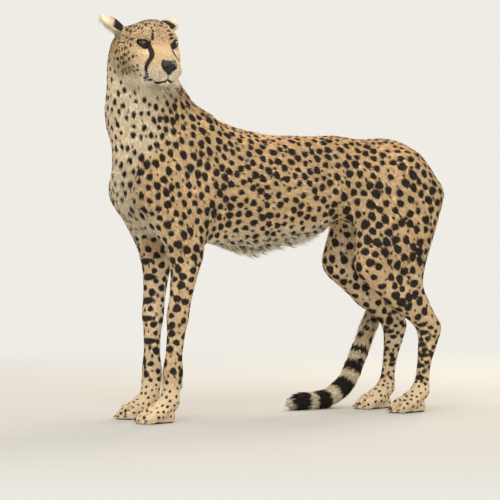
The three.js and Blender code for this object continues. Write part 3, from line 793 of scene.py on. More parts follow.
# Faces of a band of points that closes both ways, in so many rows of so many steps.
def ringFaces(rows, steps):
    return [(row * steps + step, row * steps + (step + 1) % steps,
             (row + 1) % rows * steps + (step + 1) % steps, (row + 1) % rows * steps + step)
            for row in range(rows) for step in range(steps)]


# A lid ring round the opening, thick at its edge, which sinks into the skin all round.
def makeLids(side):
    look, outer, up = eyeWays(side)
    one, two, whole = opening["powers"]
    steps = 72
    points = []
    for share, high in lidRings:
        for cosine, sine in roundSteps(steps):
            length = share * (abs(cosine) ** one + abs(sine) ** two) ** (-1 / whole)
            x, y = cosine * length, sine * length
            across = x * opening["wide"]
            rise = y * opening["tall"] - (opening["sag"] * x * x if x < 0 else 0.0)
            front = math.sqrt(max(1 - across * across - rise * rise, 0.02))
            way = unit(outer * across + up * rise + look * front)
            points.append(np.array(eyeCentres[side]) + way * (eyeShape["radius"] + high) * mm)
    piece = meshPiece("eyelids_" + sideNames[side], points, ringFaces(len(lidRings), steps))
    smoothed(piece, lidLeather)
    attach(piece, "root")


for side in (-1, 1):
    makeEye(side)
    makeLids(side)

print("nose")
noseShape = {"voxel": 0.0011, "even": 10, "swell": 0.0008, "nostril": (59, 11.5, -52), "nostrilSize": 4.6,
             "nostrilTall": 0.72, "slant": 0.35, "deep": 6.0, "crest": 0.7, "crestWidth": 6.0, "cleft": 1.3,
             "cleftWidth": 1.1, "edge": -32, "near": 0.045}


def makeNose():
    piece = nodeCopy("nose_leather", "nose")
    applied(piece, "REMESH", mode="VOXEL", voxel_size=noseShape["voxel"], adaptivity=0)
    evened(piece, noseShape["even"])
    applied(piece, "DISPLACE", strength=noseShape["swell"], mid_level=0)
    points = pointsOf(piece)
    ahead, across, high = inHead(points).T
    forward, left, up = noseShape["nostril"]
    for side in (-1, 1):
        dx = (across - side * left) / noseShape["nostrilSize"]
        dz = (high - up) / (noseShape["nostrilSize"] * noseShape["nostrilTall"])
        dz += dx * side * noseShape["slant"]
        inside = np.exp(-(dx * dx + dz * dz) ** 1.5) * (ahead > forward - 12)
        points -= headWay(1, side * 0.25, 0) * (inside * noseShape["deep"] * mm)[:, None]
    crest = np.exp(-((across / noseShape["crestWidth"]) ** 2)) * fade(high, -50, -40)
    points += headWay(0.35, 0, 0.9) * (crest * noseShape["crest"] * mm)[:, None]
    cleft = np.exp(-((across / noseShape["cleftWidth"]) ** 2)) * (high < -50)
    points -= headWay(1, 0, 0) * (cleft * noseShape["cleft"] * mm)[:, None]
    movePoints(piece, points)
    smoothed(piece, darkLeather)
    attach(piece, "root")
    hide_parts("nose")


makeNose()
noseBox = surfaceOf(bpy.data.objects["nose_leather"])


print("markings")
# For each kind of place: how far apart the big spots are, their radius, how much longer than wide they are
# along the coat, the radius of the small spots between, and how many of those there are; all in metres.
spotPlan = {
    "trunk": (0.0262, 0.0089, 1.12, 0.0042, 0.6), "neck": (0.0215, 0.0073, 1.35, 0.0036, 0.6),
    "foreleg_upper": (0.0268, 0.0091, 1.15, 0.0038, 0.5),
    "foreleg_lower": (0.0310, 0.0108, 0.9, 0.0042, 0.6),
    "forepaw": (0.0170, 0.0040, 1.1, 0.0024, 0.3), "thigh": (0.0312, 0.0108, 1.04, 0.0042, 0.8),
    "shank": (0.0335, 0.0118, 0.96, 0.0045, 0.7), "hind_foot": (0.0260, 0.0098, 0.62, 0.0038, 0.5),
    "hind_paw": (0.0170, 0.0042, 1.0, 0.0024, 0.3), "tail": (0.0290, 0.0088, 1.0, 0.0042, 0.5),
    "head": (0.0112, 0.0030, 1.35, 0.0018, 0.8), "ear": (0.2, 0.001, 1.0, 0.001, 0.0),
}


# Random places on the skin, as the corners of the triangle that each lies in and its share of each.
def placesOnSkin(count, weights=None):
    skin.data.calc_loop_triangles()
    corners = valuesOf(skin.data.loop_triangles, "vertices", 3, np.int32)
    a, b, c = pointsOf(skin)[corners].transpose(1, 0, 2)
    areas = np.linalg.norm(np.cross(b - a, c - a), axis=1) / 2
    if weights is not None:
        areas = areas * weights[corners].mean(1)
    if count is None:
        count = int(areas.sum())
    picked = dice.choice(len(areas), size=count, p=areas / areas.sum())
    u, v = dice.random(count), dice.random(count)
    over = u + v > 1
    u[over], v[over] = 1 - u[over], 1 - v[over]
    return corners[picked], np.stack([1 - u - v, u, v], axis=1)


# What the skin's points carry, at places on it.
def carried(values, corners, shares):
    picked = values[corners]
    return (picked * (shares if picked.ndim == 2 else shares[:, :, None])).sum(1)


finePoints, fineNormals = pointsOf(skin), normalsOf(skin)
headPlaces = inHead(finePoints)


# How pale and how warm the ground is.
def groundTones(points, normals, kindsHere):
    x, y, z = points.T
    nx, ny, nz = normals.T
    forward, left, up = inHead(points).T
    side = np.abs(left)
    head, neck, tail = (kindsHere == kind for kind in ("head", "neck", "tail"))
    body = ~np.isin(kindsHere, ["head", "ear"])
    lower = np.isin(kindsHere, ["shank", "hind_foot", "foreleg_lower"])
    paw = np.isin(kindsHere, ["forepaw", "hind_paw"])
    leg = lower | paw | (kindsHere == "thigh")
    breast = np.exp(-(((x + 0.44) / 0.05) ** 2 + (y / 0.055) ** 2 + ((z - 0.575) / 0.085) ** 2))
    pale = np.max([
        np.isin(kindsHere, ["trunk", "foreleg_upper"]) * fade(-nz, 0.25, 0.8) * fade(-z, -0.58, -0.50),
        leg * 0.42 * fade(-np.sign(y) * ny, 0.2, 0.75), lower * 0.08, paw * 0.38,
        body * fade(-nx, -0.1, 0.5) * np.clip(breast * 1.5, 0, 1),
        neck * fade(-nx * 0.85 - ny * 0.5, 0.25, 0.85) * 0.75,
        tail * fade(lineDistance(points, tailPath)[1], 0.42, 0.72) * 0.85,
        tail * 0.45 * fade(-nz, -0.1, 0.7),
    ], axis=0)
    muzzle = (fade(-up, 42, 60) * 0.5 + fade(-up, 60, 86) * 0.45) * fade(forward, -20, 10)
    under = np.exp(-(((forward + 2) / 16) ** 2 + ((side - 36) / 13) ** 2 + ((up + 20) / 6.5) ** 2))
    over = np.exp(-(((forward + 6) / 14) ** 2 + ((side - 33) / 12) ** 2 + ((up - 17) / 6.0) ** 2))
    chin, jaw = fade(-up, 84, 92), fade(-up, 66, 92)
    cheek = fade(side, 34, 52) * fade(-up, 30, 60) * 0.35
    pale = np.where(head, np.clip(muzzle + chin + under + over * 0.8 + jaw * 0.6 + cheek, 0, 1), pale)
    warm = body * fade(nz, 0.15, 0.9) * 0.62 + body * 0.12
    warm = np.where(head, fade(up, -50, 10) * 0.22, warm) * (1 - pale)
    for own, reach, outside in earPlaces(points, normals, kindsHere):
        pale[own] = np.clip(0.25 + fade(reach, 0.55, 0.8) * 0.75 + fade(-outside, 0.0, 0.6) * 0.5, 0, 1)
        warm[own] = 0.3 * (1 - pale[own])
    return np.clip(pale, 0, 1), np.clip(warm, 0, 1)


skinPale, skinWarm = groundTones(finePoints, fineNormals, skinKinds)
skinPale = spread(skinPale, skinEdges, 5)[:, 0]
skinWarm = spread(skinWarm, skinEdges, 8)[:, 0]
# Where dark hairs are mixed into the ground: the crown, the forehead, the nape and the upper cheeks; and
# painted shade, drawn as the same dark flecks, on the bridge and the sides of the muzzle below the eyes.
forward, left, up = headPlaces.T
skinGrizzleAndShade = (skinKinds == "head") * np.clip(
    fade(up, -6, 20) * 1.0 + fade(-forward, 30, 70) * fade(up, -50, 0) * 0.8
    + fade(np.abs(left), 36, 54) * fade(up, -80, -10) * 0.6
    + fade(forward, 6, 26) * fade(-up, 4, 34) * 0.5, 0, 1)
skinGrizzleAndShade = np.maximum(skinGrizzleAndShade, (skinKinds == "neck") * 0.5 * fade(fineNormals[:, 0], 0.0, 0.6)
                         * fade(finePoints[:, 2], 0.72, 0.86))
skinGrizzleAndShade = spread(skinGrizzleAndShade, skinEdges, 6)[:, 0]
for node in pawNodes:  # and painted shade, up to a height, in the grooves between the toes
    own = np.flatnonzero(skinOwners == fleshNodes.index(node))
    *_, grooves, reach = pawPlaces(finePoints[own], node)
    dark = np.max(grooves, axis=0) * reach * (finePoints[own][:, 2] < 0.045)
    skinGrizzleAndShade[own] = np.maximum(skinGrizzleAndShade[own], dark)

# The marks that each have a place on the head: forward, left, up and half width, in millimetres.
tearLine = [(-2, 22, -9, 5.2), (8, 22, -16, 6.6), (18, 24, -30, 7.0), (24, 26, -42, 7.0),
            (25, 29, -55, 6.8), (20, 33, -68, 7.0), (14, 37, -80, 7.6), (9, 40, -91, 8.2)]
browMarks = [  # place, radius, stretch
    ((8, 27, 7), 3.2, 1.6), ((10, 26, 15), 3.6, 1.9), ((9, 25, 24), 3.4, 2.0), ((4, 22, 35), 3.0, 1.9),
    ((-6, 22, 45), 2.8, 1.7),
]
noseLine = [(60, 0, -66, 1.5), (58, 0, -74, 1.4), (57, 0, -83, 2.2)]
lidCorner = [(-18, 51, 6, 3.0), (-26, 57, 8, 2.0), (-34, 63, 5, 1.2)]
cheekRows = [  # start, bend, end, spots, radius
    ((-22, 54, -12), (-44, 64, -20), (-68, 66, -28), 9, 3.5),
    ((-14, 50, -22), (-42, 64, -33), (-70, 65, -42), 11, 3.5),
    ((-10, 49, -34), (-40, 64, -45), (-68, 62, -55), 11, 3.5),
    ((-6, 47, -46), (-36, 60, -57), (-64, 60, -67), 10, 3.2),
    ((-6, 46, -60), (-36, 57, -69), (-62, 55, -79), 9, 2.9),
]
crownRows = [
    ((-26, 6, 50), (-52, 8, 58), (-84, 8, 54), 10, 3.3),
    ((-22, 16, 46), (-54, 20, 54), (-86, 20, 50), 10, 3.3),
    ((-22, 27, 40), (-54, 32, 47), (-84, 34, 42), 10, 3.1),
    ((-24, 37, 32), (-54, 44, 38), (-78, 46, 32), 9, 3.1),
    ((-26, 46, 20), (-52, 54, 24), (-72, 58, 22), 8, 2.9),
    ((-26, 54, 4), (-50, 60, 6), (-70, 62, 4), 7, 2.9),
]


def alongBend(start, bend, end, t):
    start, bend, end = (np.array(p, float) for p in (start, bend, end))
    return start * (1 - t) ** 2 + bend * 2 * t * (1 - t) + end * t * t


fullTurn = 6.28


# Every spot: its middle, the ways that it faces and lies, its radius, its stretch and how its edge waves.
class Spots:
    def __init__(self):
        self.rows = []

    def add(self, centre, normal, lie, radius, stretch=1.0, across=False):
        lie = lie - normal * (lie @ normal)
        lie = lie / max(np.linalg.norm(lie), 1e-6)
        side = np.cross(normal, lie)
        self.rows.append((centre, normal, side if across else lie, radius, stretch,
                          dice.random() * fullTurn, dice.random() * fullTurn))


spots = Spots()
faceTree = surfaceOf(skin)
skinPointTree = pointTree(finePoints)


def spotAt(place, radius, stretch=1.0, across=False):
    centre = nearestOnSkin(faceTree, place)
    index = skinPointTree.find(centre)[1]
    spots.add(centre, fineNormals[index], skinLie[index], radius, stretch, across)


# How much of its spacing a spot keeps clear round it, the cells that spots are looked up in, how many places
# are tried, how spots vary, and how few there are on the throat and breast and on other pale ground.
spotRules = {"closeness": 0.365, "smallCloseness": 0.26, "cell": 0.03, "tries": 46000,
             "sizes": (0.80, 1.16), "stretches": (0.92, 1.14), "smallSizes": (0.7, 1.2), "smallStretch": 1.1,
             "throat": 0.93, "pale": 0.30, "paleSize": 0.25, "edge": 0.003}


# The spacing and size of the spots over the skin: finer along the spine, behind the thighs and below.
def spotFields():
    plans = np.array([spotPlan[kind] for kind in skinKinds])
    plans[:, :2] = spread(plans[:, :2], skinEdges, 14)
    body = np.isin(skinKinds, ["trunk", "neck"])
    spine = body * fade(fineNormals[:, 2], 0.55, 0.95) * fade(finePoints[:, 0], -0.36, -0.20)
    behind = (skinKinds == "thigh") * fade(fineNormals[:, 0], 0.25, 0.75)
    below = body * fade(-fineNormals[:, 2], 0.4, 0.9)
    plans[:, 0] *= 1 - 0.32 * spine - 0.30 * behind - 0.12 * below
    plans[:, 1] *= 1 - 0.42 * spine - 0.36 * behind - 0.05 * below
    return plans


# Where no spot is scattered: on the face, on the rows of the cheeks, on the soles and at the tail's end.
def spotsAllowed():
    forward, left, up = headPlaces.T
    side = np.abs(left)
    face = (forward > -8) | ((forward > -22) & (up > -24) & (side > 14) & (up < 26))
    rowed = (side > 42) & (up < -8)
    tailEnd = (skinKinds == "tail") & (lineDistance(finePoints, tailPath)[1] > 0.60)
    return 1.0 - (((skinKinds == "head") & (face | rowed)) | (finePoints[:, 2] < 0.012) | tailEnd)


def cellOf(place):
    return tuple(np.floor(place / spotRules["cell"]).astype(int))


# The places taken by spots, looked up by cells of space.
class Taken:
    def __init__(self):
        self.cells = {}

    def add(self, place, normal, gap):
        self.cells.setdefault(cellOf(place), []).append((place, normal, gap))

    # Distances along the coat count for less, as the spots are longer that way.
    def crowded(self, place, normal, lie, stretch, gap):
        i, j, k = cellOf(place)
        for di, dj, dk in itertools.product((-1, 0, 1), repeat=3):
            for other, otherNormal, otherGap in self.cells.get((i + di, j + dj, k + dk), ()):
                away = other - place
                along = away @ lie
                apart = math.sqrt(max(away @ away - along * along * (1 - 1 / stretch ** 2), 0))
                if otherNormal @ normal > 0 and apart < gap + otherGap:
                    return True
        return False


def scatterSpots():
    corners, shares = placesOnSkin(spotRules["tries"])

    def at(values):
        return carried(values, corners, shares)

    points, normals, lies, pale = at(finePoints), unit(at(fineNormals)), at(skinLie), at(skinPale)
    allowed, own = at(spotsAllowed()), at(spotFields())
    # The throat and the breast have few spots, the belly and the inner legs nearly as many as the flank.
    front = at(fade(-finePoints[:, 0], 0.30, 0.38) * (finePoints[:, 2] > 0.45))
    sparse = front * fade(pale, 0.3, 0.9) * spotRules["throat"] + (1 - front) * pale ** 3 * spotRules["pale"]
    taken = Taken()
    for centre, normal, _, radius, *_ in spots.rows:
        taken.add(centre, normal, radius + spotRules["edge"])
    ready = []
    for i in range(len(points)):
        if allowed[i] < 0.6 or dice.random() < sparse[i]:
            continue
        spacing, radius, stretch = own[i][:3]
        gap = spacing * spotRules["closeness"]
        ready.append(i)
        if not taken.crowded(points[i], normals[i], lies[i], stretch * 1.04, gap):
            size = radius * (1 - spotRules["paleSize"] * pale[i]) * dice.uniform(*spotRules["sizes"])
            taken.add(points[i], normals[i], gap)
            spots.add(points[i], normals[i], lies[i], size, stretch * dice.uniform(*spotRules["stretches"]))
    bigCount = len(spots.rows)
    for i in ready:
        spacing, radius, stretch, small, share = own[i]
        if dice.random() > share * 0.5:
            continue
        if not taken.crowded(points[i], normals[i], lies[i], stretch, small * 1.25):
            taken.add(points[i], normals[i], spacing * spotRules["smallCloseness"])
            size = small * dice.uniform(*spotRules["smallSizes"])
            spots.add(points[i], normals[i], lies[i], size, spotRules["smallStretch"])
    print("spots", bigCount, len(spots.rows))


for side in (-1, 1):
    for start, bend, end, count, radius in cheekRows + crownRows:
        for number in range(count):
            f, l, u = alongBend(start, bend, end, number / (count - 1)) + dice.normal(0, 1.7, 3)
            spotAt(onHead(f, side * l, u), radius * mm * dice.uniform(0.6, 1.15), dice.uniform(1.0, 1.6))
    for place, radius, stretch in browMarks:
        f, l, u = place
        spotAt(onHead(f, side * (l + dice.normal(0, 0.6)), u), radius * mm, stretch)
    for row in range(3):  # the small dots that the whiskers stand in
        for number in range(4):
            place = onHead(46 - number * 8, side * (19 + number * 3.6), -62 - row * 8 + number * 0.8)
            spotAt(place, 1.1 * mm)

barShapes = {"foreleg": (0.0086, 2.5), "hind": (0.0070, 2.1)}  # radius, and how much wider than high
legBars = {  # for each node, heights as a share of it, and how far round the leg from its front
    "foreleg_lower_left": [(0.95, 0.9), (0.82, 0.6), (0.64, 0.7), (0.46, 0.5), (0.30, 0.7)],
    "foreleg_lower_right": [(0.96, 0.2), (0.84, 0.4), (0.66, 0.3), (0.50, 0.2), (0.33, 0.4)],
    "hind_foot_left": [(0.92, 0.3), (0.76, 0.5), (0.60, 0.2), (0.44, 0.6), (0.28, 0.3), (0.12, 0.5)],
    "hind_foot_right": [(0.92, 0.4), (0.75, 0.2), (0.58, 0.5), (0.42, 0.3), (0.26, 0.5), (0.10, 0.2)],
}


def barLegs():
    for node, bars in legBars.items():
        low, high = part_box(node)
        fore = node.startswith("foreleg")
        radius, stretch = barShapes["foreleg" if fore else "hind"]
        outer = (-1 if node.endswith("left") else 1) * (1 if fore else -1)
        leg = finePoints[skinOwners == fleshNodes.index(node)]
        for share, turned in bars:
            level = low.z + (high.z - low.z) * share
            own = leg[np.abs(leg[:, 2] - level) < 0.006]
            if len(own):
                way = np.array([-math.cos(turned * 1.2), -outer * math.sin(turned * 1.2), 0])
                spotAt(np.array([*own.mean(0)[:2], level]) + way * 0.05, radius, stretch, across=True)


barLegs()
scatterSpots()

# Dark rings round the tail: how far the middle of each is from the tip, and half its width.
tailRings = [(0.057, 0.026), (0.127, 0.023), (0.204, 0.024), (0.268, 0.014), (0.318, 0.009)]
edgeWaves = (0.08, 0.07)  # how far a spot's edge goes in and out, in two waves and in three
markFloor = -0.02
faceRims = {"lids": 1.42, "lidScale": 0.009, "eyeReach": 1.16, "noseReach": 0.004, "noseRim": 0.0014}
earPatch = {"outside": 0.30, "from": 0.12, "to": 0.54, "scale": 0.03}


# Marks have values in metres: above 0 inside a dark mark, below 0 outside it.
def markSpots(mark, points, normals):
    tree = pointTree(points)
    for centre, normal, lie, radius, stretch, phaseTwo, phaseThree in spots.rows:
        found = tree.find_range(centre, radius * stretch * 1.25 + 0.003)
        if not found:
            continue
        near = np.array([hit[1] for hit in found])
        near = near[normals[near] @ normal > 0.1]
        away = points[near] - centre
        u, v = away @ lie / stretch, away @ np.cross(normal, lie)
        turned = np.arctan2(v, u)
        edge = 1 + edgeWaves[0] * np.cos(2 * turned + phaseTwo)
        edge += edgeWaves[1] * np.cos(3 * turned + phaseThree)
        mark[near] = np.maximum(mark[near], radius * edge - np.sqrt(u * u + v * v))


def markFace(best, here):
    for line in (tearLine, mouthLine, lidCorner, noseLine):
        for side in (-1, 1):
            path, widths = facePath(faceTree, line, side)
            away, share = lineDistance(here, path)
            lengths = np.linalg.norm(np.diff(path, axis=0), axis=1)
            stops = np.concatenate([[0], np.cumsum(lengths) / lengths.sum()])
            best = np.maximum(best, np.interp(share, stops, widths) - away)
    for side in (-1, 1):
        share = lidShare(side, here)
        rim = np.minimum((faceRims["lids"] - share) * faceRims["lidScale"],
                         eyeRadius * faceRims["eyeReach"] - farFrom(here, eyeCentres[side]))
        best = np.maximum(best, np.where(share < farOut, rim, markFloor))
    for index in np.flatnonzero(farFrom(here, noseTip) < noseShape["near"]):
        found = noseBox.find_nearest(Vector(here[index]), faceRims["noseReach"])
        if found[0] is not None and inHead(here[index:index + 1])[0][2] < noseShape["edge"]:
            best[index] = max(best[index], faceRims["noseRim"] - found[3])
    return best


def marksAt(points, normals, kindsHere, tailNear):
    mark = np.full(len(points), markFloor)
    markSpots(mark, points, normals)
    onFace = np.flatnonzero(kindsHere == "head")
    if len(onFace):
        mark[onFace] = markFace(mark[onFace], points[onFace])
    for own, reach, outside in earPlaces(points, normals, kindsHere):
        inside = np.minimum(reach - earPatch["from"], earPatch["to"] - reach)
        inside = np.minimum(outside - earPatch["outside"], inside)
        mark[own] = np.maximum(mark[own], inside * earPatch["scale"])
    tail = np.flatnonzero(tailNear > 0)
    for place, half in tailRings:
        fromTip = (1 - tailNear[tail]) * tailLength
        value = half * (1 - 0.22 * np.clip(-normals[tail, 2], 0, 1)) - np.abs(fromTip - place)
        mark[tail] = np.maximum(mark[tail], value)
    return mark


tailLength = float(np.linalg.norm(np.diff(tailPath, axis=0), axis=1).sum())
skinTail = np.where(skinKinds == "tail", lineDistance(finePoints, tailPath)[1], 0)
skinMark = marksAt(finePoints, fineNormals, skinKinds, skinTail)
skinBare = ((finePoints[:, 2] < 0.007) & (fineNormals[:, 2] < -0.55)
            & np.isin(skinKinds, ["forepaw", "hind_paw"])).astype(float)
skinTones = {"pale": skinPale, "warm": skinWarm, "bare": skinBare, "grizzleAndShade": skinGrizzleAndShade}
setFloats(skin.data, "mark", skinMark)
for name, values in skinTones.items():
    setFloats(skin.data, name, values)


# Gives a piece that lies on the skin the marks given, and the tones of the skin nearest to it.
def tonedLikeSkin(piece, points, mark):
    nearest = [skinPointTree.find(point)[1] for point in points]
    setFloats(piece.data, "mark", mark)
    for name, values in skinTones.items():
        setFloats(piece.data, name, values[nearest])


# The skin round the opening of an eye, which lies over the eyeball and runs in under the skin of the face.
lidSkin = {"steps": 72, "from": 1.30, "reach": 1.85,
           "heights": (-0.6, 0.9, 1.15, 1.1, 1.0, 0.9, 0.8, 0.7, 0.5, -1.6)}


def makeLidSkin(side):
    look, outer, up = eyeWays(side)
    centre = np.array(eyeCentres[side])
    turns = np.linspace(0.05, 1.5, 120)
    rows, steps = len(lidSkin["heights"]), lidSkin["steps"]
    points = np.zeros((rows, steps, 3))
    for step, (cosine, sine) in enumerate(roundSteps(steps)):
        flat = outer * cosine + up * sine
        rays = look * np.cos(turns)[:, None] + flat * np.sin(turns)[:, None]
        shares = lidShare(side, centre + rays * eyeShape["radius"] * mm)
        first = turns[min(np.searchsorted(shares, lidSkin["from"]), len(turns) - 1)]
        for row, high in enumerate(lidSkin["heights"]):
            share = (max(row - 1, 0) / (rows - 2)) ** 1.3
            turned = first + (lidSkin["reach"] - first) * share
            ray = look * math.cos(turned) + flat * math.sin(turned)
            points[row, step] = centre + ray * (eyeShape["radius"] + high) * mm
    points = points.reshape(-1, 3)
    piece = meshPiece("lid_skin_" + sideNames[side], points, ringFaces(rows, steps))
    allHead = np.full(len(points), "head", object)
    tonedLikeSkin(piece, points, marksAt(points, unit(points - centre), allHead, np.zeros(len(points))))
    smoothed(piece, skinMaterial)
    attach(piece, "root")


for side in (-1, 1):
    makeLidSkin(side)

noseSkin = {"lift": 0.0006, "least": 0.0001, "soft": 3.0, "lean": 0.15, "edgeMark": 0.0006}


# The haired skin that comes down over the top of the nose leather.
def makeNoseSkin():
    piece = linked("nose_skin", bpy.data.objects["nose_leather"].data.copy())
    piece.data.materials.clear()
    cut, way = onHead(45, 0, noseShape["edge"]), headWay(noseSkin["lean"], 0, 1)
    shapedInEdit(piece, lambda: bpy.ops.mesh.bisect(plane_co=cut, plane_no=Vector(way), use_fill=True,
                                                    clear_inner=True))
    points, normals = pointsOf(piece), normalsOf(piece)
    over = (points - np.array(cut)) @ way / np.linalg.norm(way) / mm
    points += normals * (noseSkin["lift"] * fade(over, 0.0, noseSkin["soft"]) + noseSkin["least"])[:, None]
    movePoints(piece, points)
    tonedLikeSkin(piece, points, noseSkin["edgeMark"] - 0.001 * over)
    smoothed(piece, skinMaterial)
    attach(piece, "root")


makeNoseSkin()

print("coat")
# For each kind of place: a tuft's length and width, how far its tip stands off as a share of its length,
# and how far apart tufts grow.
tuftPlan = {
    "trunk": (0.0088, 0.0018, 0.13, 0.0032), "neck": (0.0088, 0.0017, 0.14, 0.0030),
    "foreleg_upper": (0.0082, 0.0018, 0.13, 0.0031), "foreleg_lower": (0.0062, 0.0014, 0.12, 0.0025),
    "forepaw": (0.0042, 0.0011, 0.12, 0.0021), "thigh": (0.0088, 0.0018, 0.14, 0.0032),
    "shank": (0.0072, 0.0015, 0.13, 0.0026), "hind_foot": (0.0060, 0.0014, 0.12, 0.0024),
    "hind_paw": (0.0042, 0.0011, 0.12, 0.0021), "tail": (0.0150, 0.0018, 0.24, 0.0031),
    "head": (0.0042, 0.0009, 0.12, 0.0016), "ear": (0.0052, 0.0009, 0.20, 0.0016),
}


def coatFields():
    plan = np.array([tuftPlan[kind] for kind in skinKinds])
    x, _, z = finePoints.T
    nx, _, nz = fineNormals.T
    forward, left, up = headPlaces.T
    side = np.abs(left)
    head, trunk, neck = (skinKinds == kind for kind in ("head", "trunk", "neck"))
    belly = trunk * fade(-nz, 0.35, 0.85) * fade(-z, -0.52, -0.46)
    regions = [  # where, how much longer and how much more lifted
        (head * fade(side, 30, 46) * fade(-up, 30, 62) * fade(-forward, 0, 30), 1.3, 0.22),
        (head * fade(-up, 88, 100), 1.0, 0.2),
        (fade(-x, 0.36, 0.44) * fade(z, 0.42, 0.5) * fade(-z, -0.72, -0.62) * ~head, 0.55, 0.10),
        (belly, 0.6, 0.10),
        (belly * fade(-nz, 0.75, 0.97) * fade(x, -0.20, -0.10) * fade(-x, -0.20, -0.08), 1.9, 0.42),
        ((neck | trunk) * fade(nz + nx * 0.7, 0.55, 0.95) * fade(-x, 0.18, 0.28), 0.45, 0.16),
        ((skinKinds == "thigh") * fade(nx, 0.5, 0.9), 0.35, 0.10),
        ((skinKinds == "tail") * fade(skinTail, 0.80, 1.0), 0.5, 0.0),
    ]
    gain = np.where(head, 0.62 + fade(farFrom(finePoints, noseTip), 0.03, 0.12) * 0.75, 1.0)
    lift = np.zeros(len(finePoints))
    for where, longer, lifted in regions:
        gain += where * longer
        lift += where * lifted
    for own, _, outside in earPlaces(finePoints, fineNormals, skinKinds):
        inside = own[outside < -0.3]
        gain[inside] += 1.7
        lift[inside] += 0.45
    for centre in eyeCentres.values():
        gain *= np.where(head, 0.55 + 0.45 * fade(farFrom(finePoints, centre), 0.020, 0.034), 1)
    plan[:, 0] *= gain
    plan[:, 2] += lift
    return spread(plan, skinEdges, 8)


coatPlan = coatFields()


def rootsFor(weights):
    corners, shares = placesOnSkin(None, weights)

    def at(values):
        return carried(values, corners, shares)

    tail = at(skinTail)
    return {"roots": at(finePoints), "normals": unit(at(fineNormals)), "lies": unit(at(skinLie)),
            "owners": skinOwners[corners[np.arange(len(corners)), shares.argmax(1)]], "plan": at(coatPlan),
            "tail": np.where(tail > 0.01, tail, 0),
            **{name: at(values) for name, values in skinTones.items()}}


def kept(tufts, mask):
    return {name: values[mask] for name, values in tufts.items()}


faceClear = {"lip": 0.0012, "nose": 0.0016, "lid": 1.28, "leather": 0.0022, "under": 0.002}


# Leaves out the tufts on bare skin, in the lip line, on the lids, and on or under the nose leather.
def clearOfFace(tufts):
    roots = tufts["roots"]
    keep = tufts["bare"] < 0.4
    for side in (-1, 1):
        for line, clear in ((mouthLine, faceClear["lip"]), (noseLine, faceClear["nose"])):
            keep &= lineDistance(roots, facePath(faceTree, line, side)[0])[0] > clear
        keep &= lidShare(side, roots) > faceClear["lid"]
    for index in np.flatnonzero(farFrom(roots, noseTip) < noseShape["near"]):
        if inHead(roots[index:index + 1])[0][2] > noseShape["edge"]:
            continue
        inner = Vector(roots[index]) - Vector(tufts["normals"][index]) * faceClear["under"]
        for place, reach in ((Vector(roots[index]), faceClear["leather"]), (inner, faceClear["under"])):
            if noseBox.find_nearest(place, reach)[0] is not None:
                keep[index] = False
    return kept(tufts, keep)


lockWaves = {"bend": 0.10, "stray": 0.13}


# Bends the coat's lie a little this way and that, in soft waves, so that tufts gather into locks.
def waved(points, lies, normals):
    x, y, z = points.T
    wave = (np.sin(x * 150 + np.sin(z * 90) * 1.7) + np.sin(z * 170 + y * 120 + 1.3)) * lockWaves["bend"]
    wave += dice.normal(0, lockWaves["stray"], len(points))
    return unit(lies + np.cross(normals, lies) * wave[:, None])


unwrapShape = {"faces": 7000, "angle": 1.15, "margin": 0.004, "border": 0.005}


# A coarse copy of a stretch of skin, laid out flat, which gives each tuft its place in the colour map.
def unwrapFor(owners):
    copy = linked("pattern", skin.data.copy())
    editPoints(copy, ~np.isin(skinOwners, owners))
    bpy.ops.mesh.delete(type="VERT")
    bpy.ops.object.mode_set(mode="OBJECT")
    applied(copy, "DECIMATE", ratio=min(1.0, unwrapShape["faces"] / max(len(copy.data.polygons), 1)))
    applied(copy, "TRIANGULATE")
    shapedInEdit(copy, lambda: bpy.ops.uv.smart_project(angle_limit=unwrapShape["angle"],
                                                        island_margin=unwrapShape["margin"]))
    places = valuesOf(copy.data.uv_layers.active.data, "uv", 2).reshape(-1, 3, 2)
    places = (places - places.min((0, 1))) / (places.max((0, 1)) - places.min((0, 1)))
    corners = valuesOf(copy.data.loops, "vertex_index", 1, np.int32).reshape(-1, 3)
    points = pointsOf(copy)
    tree = BVHTree.FromPolygons([tuple(p) for p in points], [tuple(c) for c in corners])
    bpy.data.objects.remove(copy)
    return tree, points[corners], places * (1 - 2 * unwrapShape["border"]) + unwrapShape["border"]


# Where each root lies on that flat layout.
def flatPlaces(roots, owners):
    tree, triangles, places = unwrapFor(owners)
    found = [tree.find_nearest(Vector(root)) for root in roots]
    index = np.array([hit[2] for hit in found])
    a, b, c = triangles[index].transpose(1, 0, 2)
    one, two, three = b - a, c - a, np.array([tuple(hit[0]) for hit in found]) - a
    d11, d12, d22 = (one * one).sum(1), (one * two).sum(1), (two * two).sum(1)
    d31, d32 = (three * one).sum(1), (three * two).sum(1)
    below = np.maximum(d11 * d22 - d12 * d12, 1e-18)
    v = np.clip((d22 * d31 - d12 * d32) / below, 0, 1)
    w = np.clip((d11 * d32 - d12 * d31) / below, 0, 1)
    return (places[index] * np.stack([1 - v - w, v, w], axis=1)[:, :, None]).sum(1)


# How deep a tuft's foot is sunk, half its width and its height at the foot and at the bend as shares of its
# width, where it bends, and the size of its patch in the colour map.
tuftShape = {"sunk": 0.0005, "foot": (0.5, 0.45), "bend": (0.42, 0.34), "bendAt": 0.45, "bendLift": 0.75,
             "bendRise": 0.0002, "patchHalf": 0.0014, "patchTall": 0.003}
straightFaces = [(0, 2, 1), (0, 1, 3), (1, 2, 3), (2, 0, 3)]
bentFaces = [(0, 2, 1), (0, 1, 4), (0, 4, 3), (1, 2, 5), (1, 5, 4), (2, 0, 3), (2, 3, 5),
             (3, 4, 6), (4, 5, 6), (5, 3, 6)]


